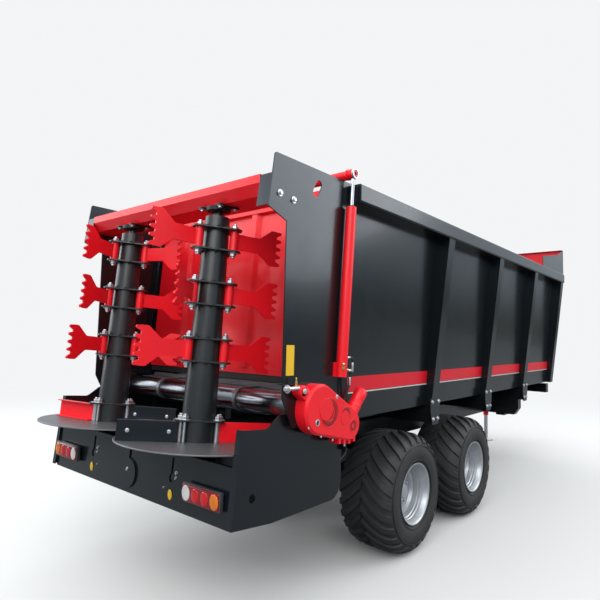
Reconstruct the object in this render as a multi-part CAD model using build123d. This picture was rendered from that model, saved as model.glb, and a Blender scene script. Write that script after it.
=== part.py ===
from build123d import *
import math
import os

os.makedirs("parts", exist_ok=True)

# Manure spreader on two tandem axles, all lengths in millimetres.
# +Y is forward, +X is the right side, +Z is up and the ground is Z = 0.
# Stations along Y count from the rear axle; OUT_Y at the end moves them into the shared frame.

# Clearances
FIT = 0.5
SPINDLE_FIT = 0.05
RUN_GAP = 12.0
DISC_GAP = 20.0

# Wheels and axles
TYRE_R = 466.0
TYRE_W = 490.0
LUG_H = 24.0
LUG_W = 44.0
LUG_COUNT = 20
LUG_TURN = 40.0
RING_SIDES = 18
SHOULDER = 42.0
RIM_R = 237.0
RIM_WALL = 7.0
RIM_SINK = 150.0
RIM_WELL = 34.0
HUB_R = 78.0
HUB_LEN = 90.0
SPINDLE_R = 40.0
AXLE_PITCH = 1207.0
AXLE_BAR = 100.0

# Main beams, cross beams and floor
BEAM_X = 400.0
BEAM_W = 100.0
BEAM_LOW = 750.0
BEAM_H = 200.0
CROSS_H = 130.0
CROSS_W = 110.0
BEARER_W = 60.0
FLOOR_T = 6.0
CHAIN_R = 78.0
CHAIN_T = 14.0
CHAIN_W = 28.0
CHAIN_X = 430.0
CHAIN_LIFT = 97.0
ROLLER_R = 72.0
ROLLER_BACK = 350.0
IDLER_IN = 154.0
SLAT_W = 45.0
SLAT_H = 26.0
SLAT_PITCH = 360.0
SLAT_COUNT = 15
SLAT_SIDE = 80.0
SLAT_FIRST = 150.0
SHAFT_DROP = 70.0
SHAFT_R = 38.0

# Load box
BOX_REAR = -1000.0
BOX_LEN = 5554.0
WALL_LOW_X = 880.0
WALL_FLARE = 105.0
WALL_RISE = 25.0
WALL_H = 1480.0
WALL_T = 5.0
RAIL_H = 125.0
RAIL_W = 138.0
RAIL_WALL = 6.0
RAIL_ROUND = 14.0
RAIL_BACK = 25.0
POST_OFFSET = 1471.0
POST_W = 120.0
POST_LOW = 61.0
POST_T = 6.0
FOOT_T = 10.0
FOOT_W = 190.0
FOOT_UP = 62.0
HEAD_RISE = 365.0
GUSSET_LEN = 1100.0
GUSSET_T = 6.0
GUSSET_REAR = 130.0
GUSSET_BEND = 258.0
GUSSET_BEND_IN = 300.0
GUSSET_CURVE = 300.0
GUSSET_ROUND = 20.0
COVER_LEN = 264.0
COVER_RISE = 56.0
RIB_W = 80.0
RIB_D = 50.0

# Side plates of the spreading unit
PLATE_OUT = 50.0
PLATE_T = 8.0
UNIT_LEN = 725.0
HORN = 44.0
HORN_H = 318.0
NOTCH = 156.0
NOTCH_H = 60.0
PLATE_ROUND = 45.0
PLATE_LOW = 1330.0
SLOT_BACK = 336.0
SLOT_DOWN = 122.0
SLOT_LEN = 120.0
SLOT_W = 56.0
GUIDE_LIP = 40.0
GUIDE_T = 6.0
LOW_IN = 35.0
LOW_TOP = 1183.0
LOW_BASE = 650.0
LOW_LEN = 956.0
STEP_FROM = 247.0
STEP_END = 350.0
STEP_UP = 54.0
FOLD_W = 40.0
LEAN = 4.2

# Beaters, paddles and discs
DISC_R = 480.0
DISC_T = 8.0
DISC_BACK = 766.0
DISC_Z = 1039.0
STUB_R = 28.0
STUB_LEN = 75.0
BASE_R = 108.0
RING_UP = 123.0
RING_T = 10.0
TUBE_LOW_R = 103.0
TUBE_TOP_R = 78.0
TUBE_TOP = 1385.0
PIN_R = 30.0
PIN_LEN = 50.0
LOBE_R = 46.0
FLANGE_CORE = 112.0
FLANGE_T = 10.0
FLANGE_GAP = 128.0
LEVEL_LOW = 545.0
LEVEL_PITCH = 345.0
PIVOT_R = 125.0
SLEEVE_R = 27.0
BOLT_R = 14.0
PADDLE_LEN = 325.0
PADDLE_T = 12.0
PADDLE_H = 232.0
PADDLE_ARM = 98.0
ARM_LEN = 172.0
FAN_FROM = 252.0
TOOTH_LEN = 33.0
TOOTH_TIP_R = 10.0
TOOTH_ROOT_R = 16.0
TOOTH_INSET = 2.0
BLADE_LEN = 352.0
BLADE_T = 6.0
BLADE_LIP = 34.0

# Hood beam and its bearings
HOOD_H = 113.0
HOOD_D = 265.0
HOOD_STRIP = 50.0
HOOD_REAR = 745.0
HOOD_END = 90.0
BEARING_R = 72.0
BEARING_H = 30.0

# Gate with its lifting gear
GATE_BACK = 62.0
GATE_T = 8.0
GATE_LOW = 1400.0
GATE_DROP = 70.0
GATE_RIB_W = 100.0
GATE_RIB_D = 30.0
GATE_RIB_PITCH = 400.0
FLAP_H = 45.0
CROSS_TUBE_R = 32.0
CYL_R = 35.0
CYL_WALL = 9.0
CYL_FWD = -12.0
CYL_OFF = 10.0
EYE_RING = 36.0
EYE_W = 30.0
EYE_UP = 62.0
ROD_R = 14.0
ROD_SHOW = 196.0
BARREL_LEN = 1110.0

# Rear panel, lamps and gear case
PANEL_LOW = 672.0
PANEL_TOP = 985.0
PANEL_T = 6.0
COVER_R = 92.0
COVER_Z = 790.0
LAMP_X = 765.0
LAMP_W = 315.0
LAMP_H = 104.0
LAMP_D = 43.0
LAMP_Z = 808.0
CASE_H = 150.0
CASE_D = 150.0
CASE_GAP = 30.0
CASE_BOSS = 95.0

# Floor gearbox on the right side
BOX_FACE = 85.0
BOX_BOSS = 14.0
BIG_R = 150.0
SMALL_R = 104.0
SMALL_FWD = 305.0
SMALL_DROP = 120.0
MOTOR_R = 42.0
MOTOR_LEN = 190.0

# Drawbar, towing eye, jack and drive stub
DRAW_H = 130.0
DRAW_W = 120.0
NOSE_AHEAD = 1006.0
EYE_AHEAD = 400.0
EYE_Z = 640.0
EYE_R = 25.5
EYE_OUT = 62.0
EYE_T = 32.0
JACK_BEHIND = 410.0
JACK_OUT = 200.0
JACK_R = 42.0
JACK_WALL = 6.0
JACK_GAP = 6.0
JACK_TUBE_LOW = 420.0
JACK_TUBE_LEN = 760.0
JACK_LEG_LEN = 748.0
JACK_FOOT_R = 110.0
JACK_FOOT_T = 12.0
DRIVE_BOX = 180.0
DRIVE_STUB_R = 17.4
DRIVE_STUB_LEN = 90.0

# Stations and levels that follow from the sizes above
BOX_FRONT = BOX_REAR + BOX_LEN
CROSS_LOW = BEAM_LOW + BEAM_H
CROSS_TOP = CROSS_LOW + CROSS_H
ROLLER_Z = CROSS_TOP + CHAIN_LIFT + CHAIN_R
ROLLER_Y = BOX_REAR - ROLLER_BACK
IDLER_Y = BOX_FRONT - IDLER_IN
FLOOR_Z = ROLLER_Z + CHAIN_R - CHAIN_T
SHAFT_Z = CROSS_LOW - SHAFT_DROP
WALL_LOW_Z = CROSS_TOP + WALL_RISE
WALL_TOP_X = WALL_LOW_X + WALL_FLARE
RAIL_LOW = WALL_LOW_Z + WALL_H
RAIL_TOP = RAIL_LOW + RAIL_H
RAIL_OUT = WALL_TOP_X + RAIL_W
RAIL_REAR = BOX_REAR + RAIL_BACK
CORNER_Y = RAIL_REAR - POST_T
POST_FIRST = BOX_REAR + POST_OFFSET
POST_PITCH = (BOX_FRONT - POST_W - POST_FIRST) / 3
HEAD_TOP = RAIL_TOP + HEAD_RISE
HEAD_BACK = BOX_FRONT - WALL_T
PLATE_X = WALL_TOP_X + PLATE_OUT
PLATE_IN = PLATE_X - PLATE_T
PLATE_TOP = RAIL_TOP + RUN_GAP
UNIT_REAR = BOX_REAR - UNIT_LEN
LOW_X = PLATE_X - LOW_IN
LOW_IN_X = LOW_X - PLATE_T
LOW_FRONT = CORNER_Y
LOW_REAR = LOW_FRONT - LOW_LEN
DISC_X = DISC_R + DISC_GAP / 2
DISC_Y = BOX_REAR - DISC_BACK
LEAN_RAD = math.radians(LEAN)
LEAN_TAN = math.tan(LEAN_RAD)
AXLE_Z = TYRE_R
TRACK_HALF = RAIL_OUT - 63.0 - TYRE_W / 2
GATE_HALF = LOW_IN_X - 7.0
GATE_Y = BOX_REAR - GATE_BACK
GATE_TOP = RAIL_TOP - GATE_DROP
GATE_H = GATE_TOP - GATE_LOW
CYL_X = PLATE_X + CYL_OFF + CYL_R
CYL_Z = RAIL_TOP + EYE_UP
CYL_Y = BOX_REAR + CYL_FWD
CROSS_BAR_Z = CYL_Z
NOSE_Y = BOX_FRONT + NOSE_AHEAD
EYE_FRONT = NOSE_Y + EYE_AHEAD
JACK_Y = NOSE_Y - JACK_BEHIND
BARREL_TOP = EYE_RING + ROD_SHOW
HOOD_BACK = BOX_REAR - HOOD_REAR
BEATER_END = DISC_Z + (TUBE_TOP + PIN_LEN) * math.cos(LEAN_RAD)
HOOD_LOW = BEATER_END + 22.0


def block(x0, x1, y0, y1, z0, z1):
    size = Box(x1 - x0, y1 - y0, z1 - z0)
    return Pos((x0 + x1) / 2, (y0 + y1) / 2, (z0 + z1) / 2) * size


def outline(plane, points, rounds):
    face = plane * make_face(Polyline(*points, close=True))
    corners = face.vertices()
    for number, radius in rounds.items():
        spot = plane.from_local_coords(Vector(*points[number]))
        near = corners.sort_by_distance(spot)[0]
        face = fillet(near, radius)
        corners = face.vertices()
    return face


def plate_yz(points, x0, x1, rounds={}):
    return Pos(x0, 0, 0) * extrude(outline(Plane.YZ, points, rounds), x1 - x0)


def plate_xz(points, y0, y1, rounds={}):
    return Pos(0, y1, 0) * extrude(outline(Plane.XZ, points, rounds), y1 - y0)


def plate_xy(points, z0, z1, rounds={}):
    return Pos(0, 0, z0) * extrude(outline(Plane.XY, points, rounds), z1 - z0)


def rod_x(x0, x1, y, z, r):
    return Pos((x0 + x1) / 2, y, z) * Rot(0, 90, 0) * Cylinder(r, x1 - x0)


def rod_y(y0, y1, x, z, r):
    return Pos(x, (y0 + y1) / 2, z) * Rot(90, 0, 0) * Cylinder(r, y1 - y0)


def rod_z(z0, z1, x, y, r):
    return Pos(x, y, (z0 + z1) / 2) * Cylinder(r, z1 - z0)


def join(pieces):
    body = pieces[0]
    if len(pieces) > 1:
        body = body.fuse(*pieces[1:])
    return body


def other_side(shape):
    return mirror(shape, about=Plane.YZ)


def both_sides(shape):
    return Compound(children=[shape, other_side(shape)])


def upright(x, y, z):
    return Location((x, y, z), (-LEAN, 0, 0))


def gate_y(z):
    return GATE_Y + (z - GATE_LOW - GATE_H / 2) * LEAN_TAN


# Shift that puts the middle of the overall length at Y = 0
DISC_REAR = DISC_Y - DISC_R * math.cos(LEAN_RAD) - DISC_T / 2 * math.sin(LEAN_RAD)
OUT_Y = -(DISC_REAR + EYE_FRONT) / 2


def out(name, shape):
    export_step(Pos(0, OUT_Y, 0) * shape, "parts/" + name + ".step")


# Side walls of the load box, one flared sheet each
wall_section = [
    (WALL_TOP_X, RAIL_LOW),
    (WALL_LOW_X, WALL_LOW_Z),
    (WALL_LOW_X - WALL_T, WALL_LOW_Z),
    (WALL_TOP_X - WALL_T, RAIL_LOW),
]
side_wall = plate_xz(wall_section, BOX_REAR, HEAD_BACK)
out("side_wall_right", side_wall)
out("side_wall_left", other_side(side_wall))


# Hollow top rail, hat posts that taper downwards, bolted feet and the raised front gusset
def post_x(z):
    share = (RAIL_TOP - z) / (RAIL_TOP - WALL_LOW_Z)
    low = WALL_LOW_X + POST_LOW
    return RAIL_OUT + (low - RAIL_OUT) * share


rail = block(WALL_TOP_X - WALL_T, RAIL_OUT, RAIL_REAR, BOX_FRONT, RAIL_LOW, RAIL_TOP)
rail = fillet(rail.edges().filter_by(Axis.Y).sort_by(Axis.X)[-2:], RAIL_ROUND)
rail_core = block(
    WALL_TOP_X - WALL_T + RAIL_WALL,
    RAIL_OUT - RAIL_WALL,
    RAIL_REAR + RAIL_WALL,
    BOX_FRONT - RAIL_WALL,
    RAIL_LOW + RAIL_WALL,
    RAIL_TOP - RAIL_WALL,
)
frame_bits = [rail]
post_outer = [
    (WALL_TOP_X, RAIL_LOW),
    (post_x(RAIL_LOW), RAIL_LOW),
    (post_x(WALL_LOW_Z), WALL_LOW_Z),
    (WALL_LOW_X, WALL_LOW_Z),
]
post_inner = [
    (WALL_TOP_X, RAIL_LOW),
    (post_x(RAIL_LOW) - POST_T, RAIL_LOW),
    (post_x(WALL_LOW_Z) - POST_T, WALL_LOW_Z),
    (WALL_LOW_X, WALL_LOW_Z),
]
foot_x = post_x(WALL_LOW_Z)
cross_end = WALL_LOW_X
for index in range(4):
    rear = POST_FIRST + index * POST_PITCH
    middle = rear + POST_W / 2
    post = plate_xz(post_outer, rear, rear + POST_W)
    hollow = plate_xz(post_inner, rear + POST_T, rear + POST_W - POST_T)
    frame_bits.append(post - hollow)
    if index < 3:
        foot_shape = [
            (middle - FOOT_W / 2, WALL_LOW_Z + FOOT_UP),
            (middle + FOOT_W / 2, WALL_LOW_Z + FOOT_UP),
            (middle + FOOT_W / 2, WALL_LOW_Z - 40),
            (middle + POST_W / 2, CROSS_LOW - 15),
            (middle - POST_W / 2, CROSS_LOW - 15),
            (middle - FOOT_W / 2, WALL_LOW_Z - 40),
        ]
        foot = plate_yz(foot_shape, foot_x, foot_x + FOOT_T)
        web = block(cross_end, foot_x, rear + 5, rear + POST_W - 5, CROSS_LOW, WALL_LOW_Z)
        frame_bits += [foot, web]
corner_plate = [
    (WALL_LOW_X, CROSS_LOW),
    (PLATE_X, CROSS_LOW),
    (PLATE_X, RAIL_LOW + POST_LOW),
    (WALL_TOP_X, RAIL_LOW + POST_LOW),
    (WALL_TOP_X, RAIL_LOW),
    (WALL_LOW_X, WALL_LOW_Z),
]
frame_bits.append(plate_xz(corner_plate, CORNER_Y, RAIL_REAR + 1))
gusset_shape = [
    (BOX_FRONT - GUSSET_LEN, RAIL_TOP - 1),
    (BOX_FRONT - GUSSET_LEN, RAIL_TOP + GUSSET_REAR),
    (BOX_FRONT - GUSSET_BEND_IN, RAIL_TOP + GUSSET_BEND),
    (BOX_FRONT, HEAD_TOP),
    (BOX_FRONT, RAIL_TOP - 1),
]
gusset_x = RAIL_OUT - RAIL_ROUND - GUSSET_T
frame_bits.append(plate_yz(gusset_shape, gusset_x, gusset_x + GUSSET_T, {1: GUSSET_ROUND, 2: GUSSET_CURVE}))
side_frame = join(frame_bits) - rail_core
out("side_frame_right", side_frame)
out("side_frame_left", other_side(side_frame))

# Headboard, higher than the sides, with three ribs in front and a cover over the chain idler
head_in = WALL_TOP_X - WALL_T - FIT
head_wide = gusset_x - FIT
head_section = [
    (-WALL_LOW_X, WALL_LOW_Z),
    (WALL_LOW_X, WALL_LOW_Z),
    (head_in, RAIL_LOW),
    (head_in, RAIL_TOP + FIT),
    (head_wide, RAIL_TOP + FIT),
    (head_wide, HEAD_TOP),
    (-head_wide, HEAD_TOP),
    (-head_wide, RAIL_TOP + FIT),
    (-head_in, RAIL_TOP + FIT),
    (-head_in, RAIL_LOW),
]
cover_z = FLOOR_Z + COVER_RISE
cover_shape = [
    (HEAD_BACK - COVER_LEN, cover_z),
    (HEAD_BACK, cover_z),
    (HEAD_BACK, cover_z + WALL_T),
    (HEAD_BACK - COVER_LEN, cover_z + WALL_T),
]
cover_half = WALL_LOW_X - SLAT_SIDE / 4
head_bits = [
    plate_xz(head_section, HEAD_BACK, BOX_FRONT),
    plate_yz(cover_shape, -cover_half, cover_half),
    block(-head_wide, head_wide, BOX_FRONT - RIB_D, BOX_FRONT, HEAD_TOP - WALL_T, HEAD_TOP),
]
for rib_x in (-0.62, 0.0, 0.62):
    middle = rib_x * head_in
    left = middle - RIB_W / 2
    rib = block(left, left + RIB_W, BOX_FRONT, BOX_FRONT + RIB_D, WALL_LOW_Z, RAIL_TOP)
    rib = chamfer(rib.edges().filter_by(Axis.Z).sort_by(Axis.Y)[-2:], RIB_W / 5)
    head_bits.append(rib)
out("headboard", join(head_bits))

# Floor sheet, open in front of the chain idler
floor_half = WALL_LOW_X - WALL_T - FIT + WALL_FLARE * (FLOOR_Z - FLOOR_T - WALL_LOW_Z) / WALL_H
floor_rear = ROLLER_Y + CHAIN_R + RUN_GAP
floor_front = IDLER_Y - CHAIN_R - RUN_GAP
floor = block(-floor_half, floor_half, floor_rear, floor_front, FLOOR_Z - FLOOR_T, FLOOR_Z)
out("floor", floor)

# Scraper: drive roller at the rear, idler in front, two chain strands and the slats across them
slat_half = floor_half - SLAT_SIDE
roller_half = LOW_IN_X - FIT
roller = rod_x(-roller_half, roller_half, ROLLER_Y, ROLLER_Z, ROLLER_R)
idler = rod_x(-slat_half, slat_half, IDLER_Y, ROLLER_Z, ROLLER_R / 2)
scraper_bits = [roller, idler]
for side in (-1, 1):
    left = side * CHAIN_X - CHAIN_W / 2
    right = side * CHAIN_X + CHAIN_W / 2
    top = ROLLER_Z + CHAIN_R
    low = ROLLER_Z - CHAIN_R
    scraper_bits.append(block(left, right, ROLLER_Y, IDLER_Y, FLOOR_Z, top))
    scraper_bits.append(block(left, right, ROLLER_Y, IDLER_Y, low, low + CHAIN_T))
    scraper_bits.append(rod_x(left, right, ROLLER_Y, ROLLER_Z, CHAIN_R))
    scraper_bits.append(rod_x(left, right, IDLER_Y, ROLLER_Z, CHAIN_R))
    collar = side * (roller_half - RIB_D / 2)
    scraper_bits.append(rod_x(collar - RUN_GAP, collar + RUN_GAP, ROLLER_Y, ROLLER_Z, CHAIN_R * 1.2))
for index in range(SLAT_COUNT):
    slat_y = ROLLER_Y + SLAT_FIRST + index * SLAT_PITCH
    slat = block(-slat_half, slat_half, slat_y, slat_y + SLAT_W, FLOOR_Z + 4, FLOOR_Z + 4 + SLAT_H)
    scraper_bits.append(slat)
out("scraper", join(scraper_bits))

# Bearers along the floor on cross beams
bearer_front = IDLER_Y - CHAIN_R - RUN_GAP * 2
bearers = []
for place in (-0.80, -0.23, 0.23, 0.80):
    bx = place * WALL_LOW_X
    low = CROSS_TOP
    left = bx - BEARER_W / 2
    bearer = block(left, left + BEARER_W, floor_rear, bearer_front, low, FLOOR_Z - FLOOR_T)
    bearers.append(bearer)
out("floor_bearers", join(bearers))
cross = [block(-cross_end, cross_end, BOX_REAR, BOX_REAR + CROSS_W, CROSS_LOW, CROSS_TOP)]
for index in range(3):
    rear = POST_FIRST + index * POST_PITCH + (POST_W - CROSS_W) / 2
    cross.append(block(-cross_end, cross_end, rear, rear + CROSS_W, CROSS_LOW, CROSS_TOP))
cross.append(block(-cross_end, cross_end, BOX_FRONT - CROSS_W, BOX_FRONT, CROSS_LOW, CROSS_TOP))
out("cross_beams", join(cross))

# Main beams with ties between them and a bolster whose ends taper
beam_in = BEAM_X - BEAM_W / 2
beam_out = BEAM_X + BEAM_W / 2
bolster_y = POST_FIRST + 2 * POST_PITCH + (POST_W - CROSS_W) / 2
bolster_shape = [
    (beam_out, BEAM_LOW),
    (cross_end - CROSS_W / 2, BEAM_LOW),
    (cross_end, BEAM_LOW + BEAM_H * 0.4),
    (cross_end, CROSS_LOW),
    (beam_out, CROSS_LOW),
]
bolster = plate_xz(bolster_shape, bolster_y, bolster_y + CROSS_W)
beam_rear = DISC_Y + DISC_R / 2
beam_bits = [bolster, other_side(bolster)]
for side in (-1, 1):
    middle = side * BEAM_X
    beam = block(middle - BEAM_W / 2, middle + BEAM_W / 2, beam_rear, BOX_FRONT, BEAM_LOW, CROSS_LOW)
    beam_bits.append(beam)
for tie_y in (BOX_REAR + CROSS_W * 3, AXLE_PITCH * 1.8, bolster_y, BOX_FRONT - CROSS_W):
    beam_bits.append(block(-beam_in, beam_in, tie_y, tie_y + CROSS_W, BEAM_LOW + 15, CROSS_LOW - 5))
tunnel = rod_y(BOX_REAR, BOX_FRONT + 10, 0, SHAFT_Z, SHAFT_R + RUN_GAP)
out("main_beams", join(beam_bits) - tunnel)

# Drawbar: two arms that meet at a nose, and the towing eye
arm_rear = BOX_FRONT - GUSSET_LEN * 0.6
arm_turn = BOX_FRONT - CROSS_W
arm_shape = [
    (beam_out, arm_rear),
    (beam_out, arm_turn),
    (DRAW_W * 0.65, NOSE_Y),
    (-DRAW_W * 0.4, NOSE_Y),
    (beam_out - DRAW_W, arm_turn),
    (beam_out - DRAW_W, arm_rear),
]
arm = plate_xy(arm_shape, BEAM_LOW - DRAW_H, BEAM_LOW)
eye_y = EYE_FRONT - EYE_OUT
nose_low = EYE_Z - 50
nose_shape = [
    (NOSE_Y - DRAW_W, nose_low),
    (NOSE_Y - DRAW_W, BEAM_LOW),
    (NOSE_Y + 40, BEAM_LOW),
    (NOSE_Y + 140, EYE_Z + 50),
    (NOSE_Y + 140, nose_low),
]
nose = plate_yz(nose_shape, -DRAW_W * 0.6, DRAW_W * 0.6)
out("drawbar", join([arm, other_side(arm), nose]))
shank_half = EYE_OUT * 0.8
shank_end = eye_y - EYE_OUT * 0.6
shank = block(-shank_half, shank_half, NOSE_Y + 140, shank_end, EYE_Z - 20, EYE_Z + 20)
eye_ring = rod_z(EYE_Z - EYE_T / 2, EYE_Z + EYE_T / 2, 0, eye_y, EYE_OUT)
eye_hole = rod_z(EYE_Z - EYE_T, EYE_Z + EYE_T, 0, eye_y, EYE_R)
out("towing_eye", join([shank, eye_ring]) - eye_hole)

# Parking jack beside the left arm
jack_x = -JACK_OUT - DRAW_W * 0.6
jack_top = JACK_TUBE_LOW + JACK_TUBE_LEN
leg_r = JACK_R - JACK_WALL - JACK_GAP
jack_tube = rod_z(JACK_TUBE_LOW, jack_top, jack_x, JACK_Y, JACK_R)
jack_bore = rod_z(JACK_TUBE_LOW - 1, jack_top - 20, jack_x, JACK_Y, JACK_R - JACK_WALL)
jack_clamp = block(jack_x, 0, JACK_Y - 45, JACK_Y + 45, BEAM_LOW - DRAW_H + 12, BEAM_LOW - 12)
jack_clamp = jack_clamp - arm - other_side(arm)
jack_clamp = jack_clamp.solids().sort_by(Axis.X)[0]
jack_head = block(jack_x - 45, jack_x + 45, JACK_Y - 45, JACK_Y + 45, jack_top, jack_top + 50)
crank = join([
    rod_x(jack_x - 190, jack_x - 45, JACK_Y, jack_top + 25, 9),
    rod_z(jack_top + 25, jack_top + 150, jack_x - 190, JACK_Y, 9),
    rod_x(jack_x - 290, jack_x - 190, JACK_Y, jack_top + 145, 12),
])
out("jack_tube", join([jack_tube, jack_clamp, jack_head, crank]) - jack_bore)
jack_leg = rod_z(JACK_FOOT_T, JACK_FOOT_T + JACK_LEG_LEN, jack_x, JACK_Y, leg_r)
jack_foot = rod_z(0, JACK_FOOT_T, jack_x, JACK_Y, JACK_FOOT_R)
out("jack_leg", join([jack_leg, jack_foot]))

# Drive line from the front stub to the rear gear case
drive_front = BOX_FRONT + RIB_D + 20
case_front = DISC_Y + CASE_D / 2
drive_end = drive_front + DRIVE_BOX
box_half = DRIVE_BOX * 0.6
drive = join([
    rod_y(case_front, drive_front, 0, SHAFT_Z, SHAFT_R),
    block(-box_half, box_half, drive_front, drive_end, SHAFT_Z - 90, SHAFT_Z + 120),
    rod_y(drive_end, drive_end + 20, 0, SHAFT_Z, 45),
    rod_y(drive_end, drive_end + 20 + DRIVE_STUB_LEN, 0, SHAFT_Z, DRIVE_STUB_R),
])
out("drive_line", drive)

# Upper side plates with the horn that carries the hood, a slot, a hood flange and the gate's guide
horn_low = PLATE_TOP - HORN_H
upper_shape = [
    (UNIT_REAR, PLATE_TOP),
    (UNIT_REAR - HORN, horn_low),
    (UNIT_REAR - HORN + NOTCH, horn_low - NOTCH_H),
    (UNIT_REAR - HORN + NOTCH, PLATE_LOW),
    (UNIT_REAR - HORN + NOTCH + 90, LOW_TOP - 25),
    (CORNER_Y, LOW_TOP - 25),
    (CORNER_Y, PLATE_TOP),
]
upper = plate_yz(upper_shape, PLATE_IN, PLATE_X, {0: PLATE_ROUND / 3, 3: PLATE_ROUND})
slot_y = BOX_REAR - SLOT_BACK
slot_z = PLATE_TOP - SLOT_DOWN
slot = Location((PLATE_X, slot_y, slot_z), (0, 90, 0)) * Rot(0, 0, -28)
slot = slot * extrude(SlotOverall(SLOT_LEN, SLOT_W), PLATE_T * 3, both=True)
flange = plate_yz([
    (UNIT_REAR - HORN + 2, horn_low + 8),
    (UNIT_REAR - 16, PLATE_TOP - HOOD_H - 10),
    (UNIT_REAR - 10, PLATE_TOP - HOOD_H - 10),
    (UNIT_REAR - HORN + 10, horn_low + 8),
], PLATE_IN - HOOD_END, PLATE_IN)
lip_low = GATE_LOW + 20
lip_top = PLATE_TOP - 20
guide_bits = []
for gap in (-GATE_RIB_D - RUN_GAP * 1.5, GATE_T / 2 + RUN_GAP * 1.5):
    lip = plate_yz([
        (gate_y(lip_low) + gap, lip_low),
        (gate_y(lip_low) + gap - GUIDE_T, lip_low),
        (gate_y(lip_top) + gap - GUIDE_T, lip_top),
        (gate_y(lip_top) + gap, lip_top),
    ], PLATE_IN - GUIDE_LIP, PLATE_IN)
    guide_bits.append(lip)
upper = join([upper, flange] + guide_bits) - slot
out("upper_plate_right", upper)
out("upper_plate_left", other_side(upper))

# Lower side plates with a stepped top edge, a rounded foot and the folded rear edge
low_lean = (LOW_TOP - LOW_BASE) * 0.1
lower_shape = [
    (LOW_REAR + low_lean, LOW_TOP),
    (LOW_REAR + STEP_FROM, LOW_TOP - 15),
    (LOW_REAR + STEP_END, LOW_TOP + STEP_UP),
    (LOW_FRONT, LOW_TOP + STEP_UP),
    (LOW_FRONT, LOW_BASE),
    (LOW_REAR + 300, LOW_BASE),
    (LOW_REAR, LOW_BASE + 30),
]
lower = plate_yz(lower_shape, LOW_IN_X, LOW_X, {1: 60, 2: 60, 4: 110})
fold = plate_yz([
    (LOW_REAR + low_lean, LOW_TOP),
    (LOW_REAR, LOW_BASE + 30),
    (LOW_REAR + PLATE_T, LOW_BASE + 30),
    (LOW_REAR + low_lean + PLATE_T, LOW_TOP),
], LOW_X - FOLD_W, LOW_X)
low_hole = rod_x(LOW_X - 30, LOW_X + 30, LOW_REAR + 146, LOW_BASE + 166, 24)
lower = join([lower, fold]) - low_hole
out("lower_plates", both_sides(lower))

# Rear panel with folded edges, keyhole slots and a round cover
panel_y = LOW_REAR + 15
panel_lean = (PANEL_TOP - PANEL_LOW) * 0.09
panel_shape = [
    (panel_y, PANEL_LOW),
    (panel_y + panel_lean, PANEL_TOP),
    (panel_y + panel_lean + 25, PANEL_TOP),
    (panel_y + panel_lean + 25, PANEL_TOP - PANEL_T),
    (panel_y + panel_lean + PANEL_T, PANEL_TOP - PANEL_T),
    (panel_y + PANEL_T, PANEL_LOW + PANEL_T),
    (panel_y + 70, PANEL_LOW + PANEL_T),
    (panel_y + 70, PANEL_LOW),
]
panel_half = LOW_X - FOLD_W - FIT
panel = plate_yz(panel_shape, -panel_half, panel_half)
for slot_x in (-0.47, 0.0, 0.47):
    middle = slot_x * panel_half
    slit = block(middle - 12, middle + 12, panel_y - 10, panel_y + 50, COVER_Z + 50, PANEL_TOP - 30)
    pad = rod_y(panel_y - 10, panel_y + 50, middle, COVER_Z + 50, 26)
    panel = panel - slit
    if slot_x != 0.0:
        panel = panel - pad
cover_y = panel_y + (COVER_Z - PANEL_LOW) * 0.09
cover = Location((0, cover_y, COVER_Z), (-5.14, 0, 0)) * Rot(90, 0, 0) * Cylinder(COVER_R, 24)
out("rear_panel", join([panel, cover]))

# Lamps, each a housing with a raised lens face
lamp = Pos(LAMP_X, panel_y - LAMP_D / 2, LAMP_Z) * Box(LAMP_W, LAMP_D, LAMP_H)
lamp = chamfer(lamp.faces().sort_by(Axis.Y)[0].edges(), 10)
out("rear_lamps", both_sides(lamp))

# Gear case across the unit below the discs
case_top = DISC_Z - CASE_GAP
case_low = SHAFT_Z - CASE_H / 2
case_half = DISC_X + CASE_BOSS
case_back = case_front - CASE_D
case_bits = [block(-case_half, case_half, case_back, case_front, case_low, case_low + CASE_H)]
case_cut = []
for side in (-1, 1):
    case_bits.append(rod_z(case_low, case_top, side * DISC_X, DISC_Y, CASE_BOSS))
    seat_y = DISC_Y - 4
    cut_r = STUB_R + RUN_GAP
    case_cut.append(rod_z(case_top - STUB_LEN, case_top + 1, side * DISC_X, seat_y, cut_r))
case_bits.append(rod_x(-LOW_IN_X, LOW_IN_X, DISC_Y, SHAFT_Z, 36))
case = join(case_bits)
for cut in case_cut:
    case = case - cut
out("gear_case", case)


# Turn of the three bolts on each beater, seen from above
BOLT_TURN = (265, 25, 145)


# Discs with a short stub below
def disc(side):
    plate = Cylinder(DISC_R, DISC_T)
    plate = chamfer(plate.edges().sort_by(Axis.Z)[-1], DISC_T / 3)
    stub = Pos(0, 0, -DISC_T / 2 - STUB_LEN / 2) * Cylinder(STUB_R, STUB_LEN)
    return upright(side * DISC_X, DISC_Y, DISC_Z) * join([plate, stub])


out("disc_right", disc(1))
out("disc_left", disc(-1))


# Beater tubes with a base and three pairs of flanges, each flange with a lobe for every bolt
def bolt_spot(turn):
    angle = math.radians(turn)
    return (PIVOT_R * math.cos(angle), PIVOT_R * math.sin(angle))


def flange(height, thick):
    lobes = []
    for turn in BOLT_TURN:
        lobes.append((Pos(*bolt_spot(turn)) * Circle(LOBE_R)).edge())
    face = make_hull(lobes) + Circle(FLANGE_CORE)
    return Pos(0, 0, height - thick / 2) * extrude(face, thick)


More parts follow.
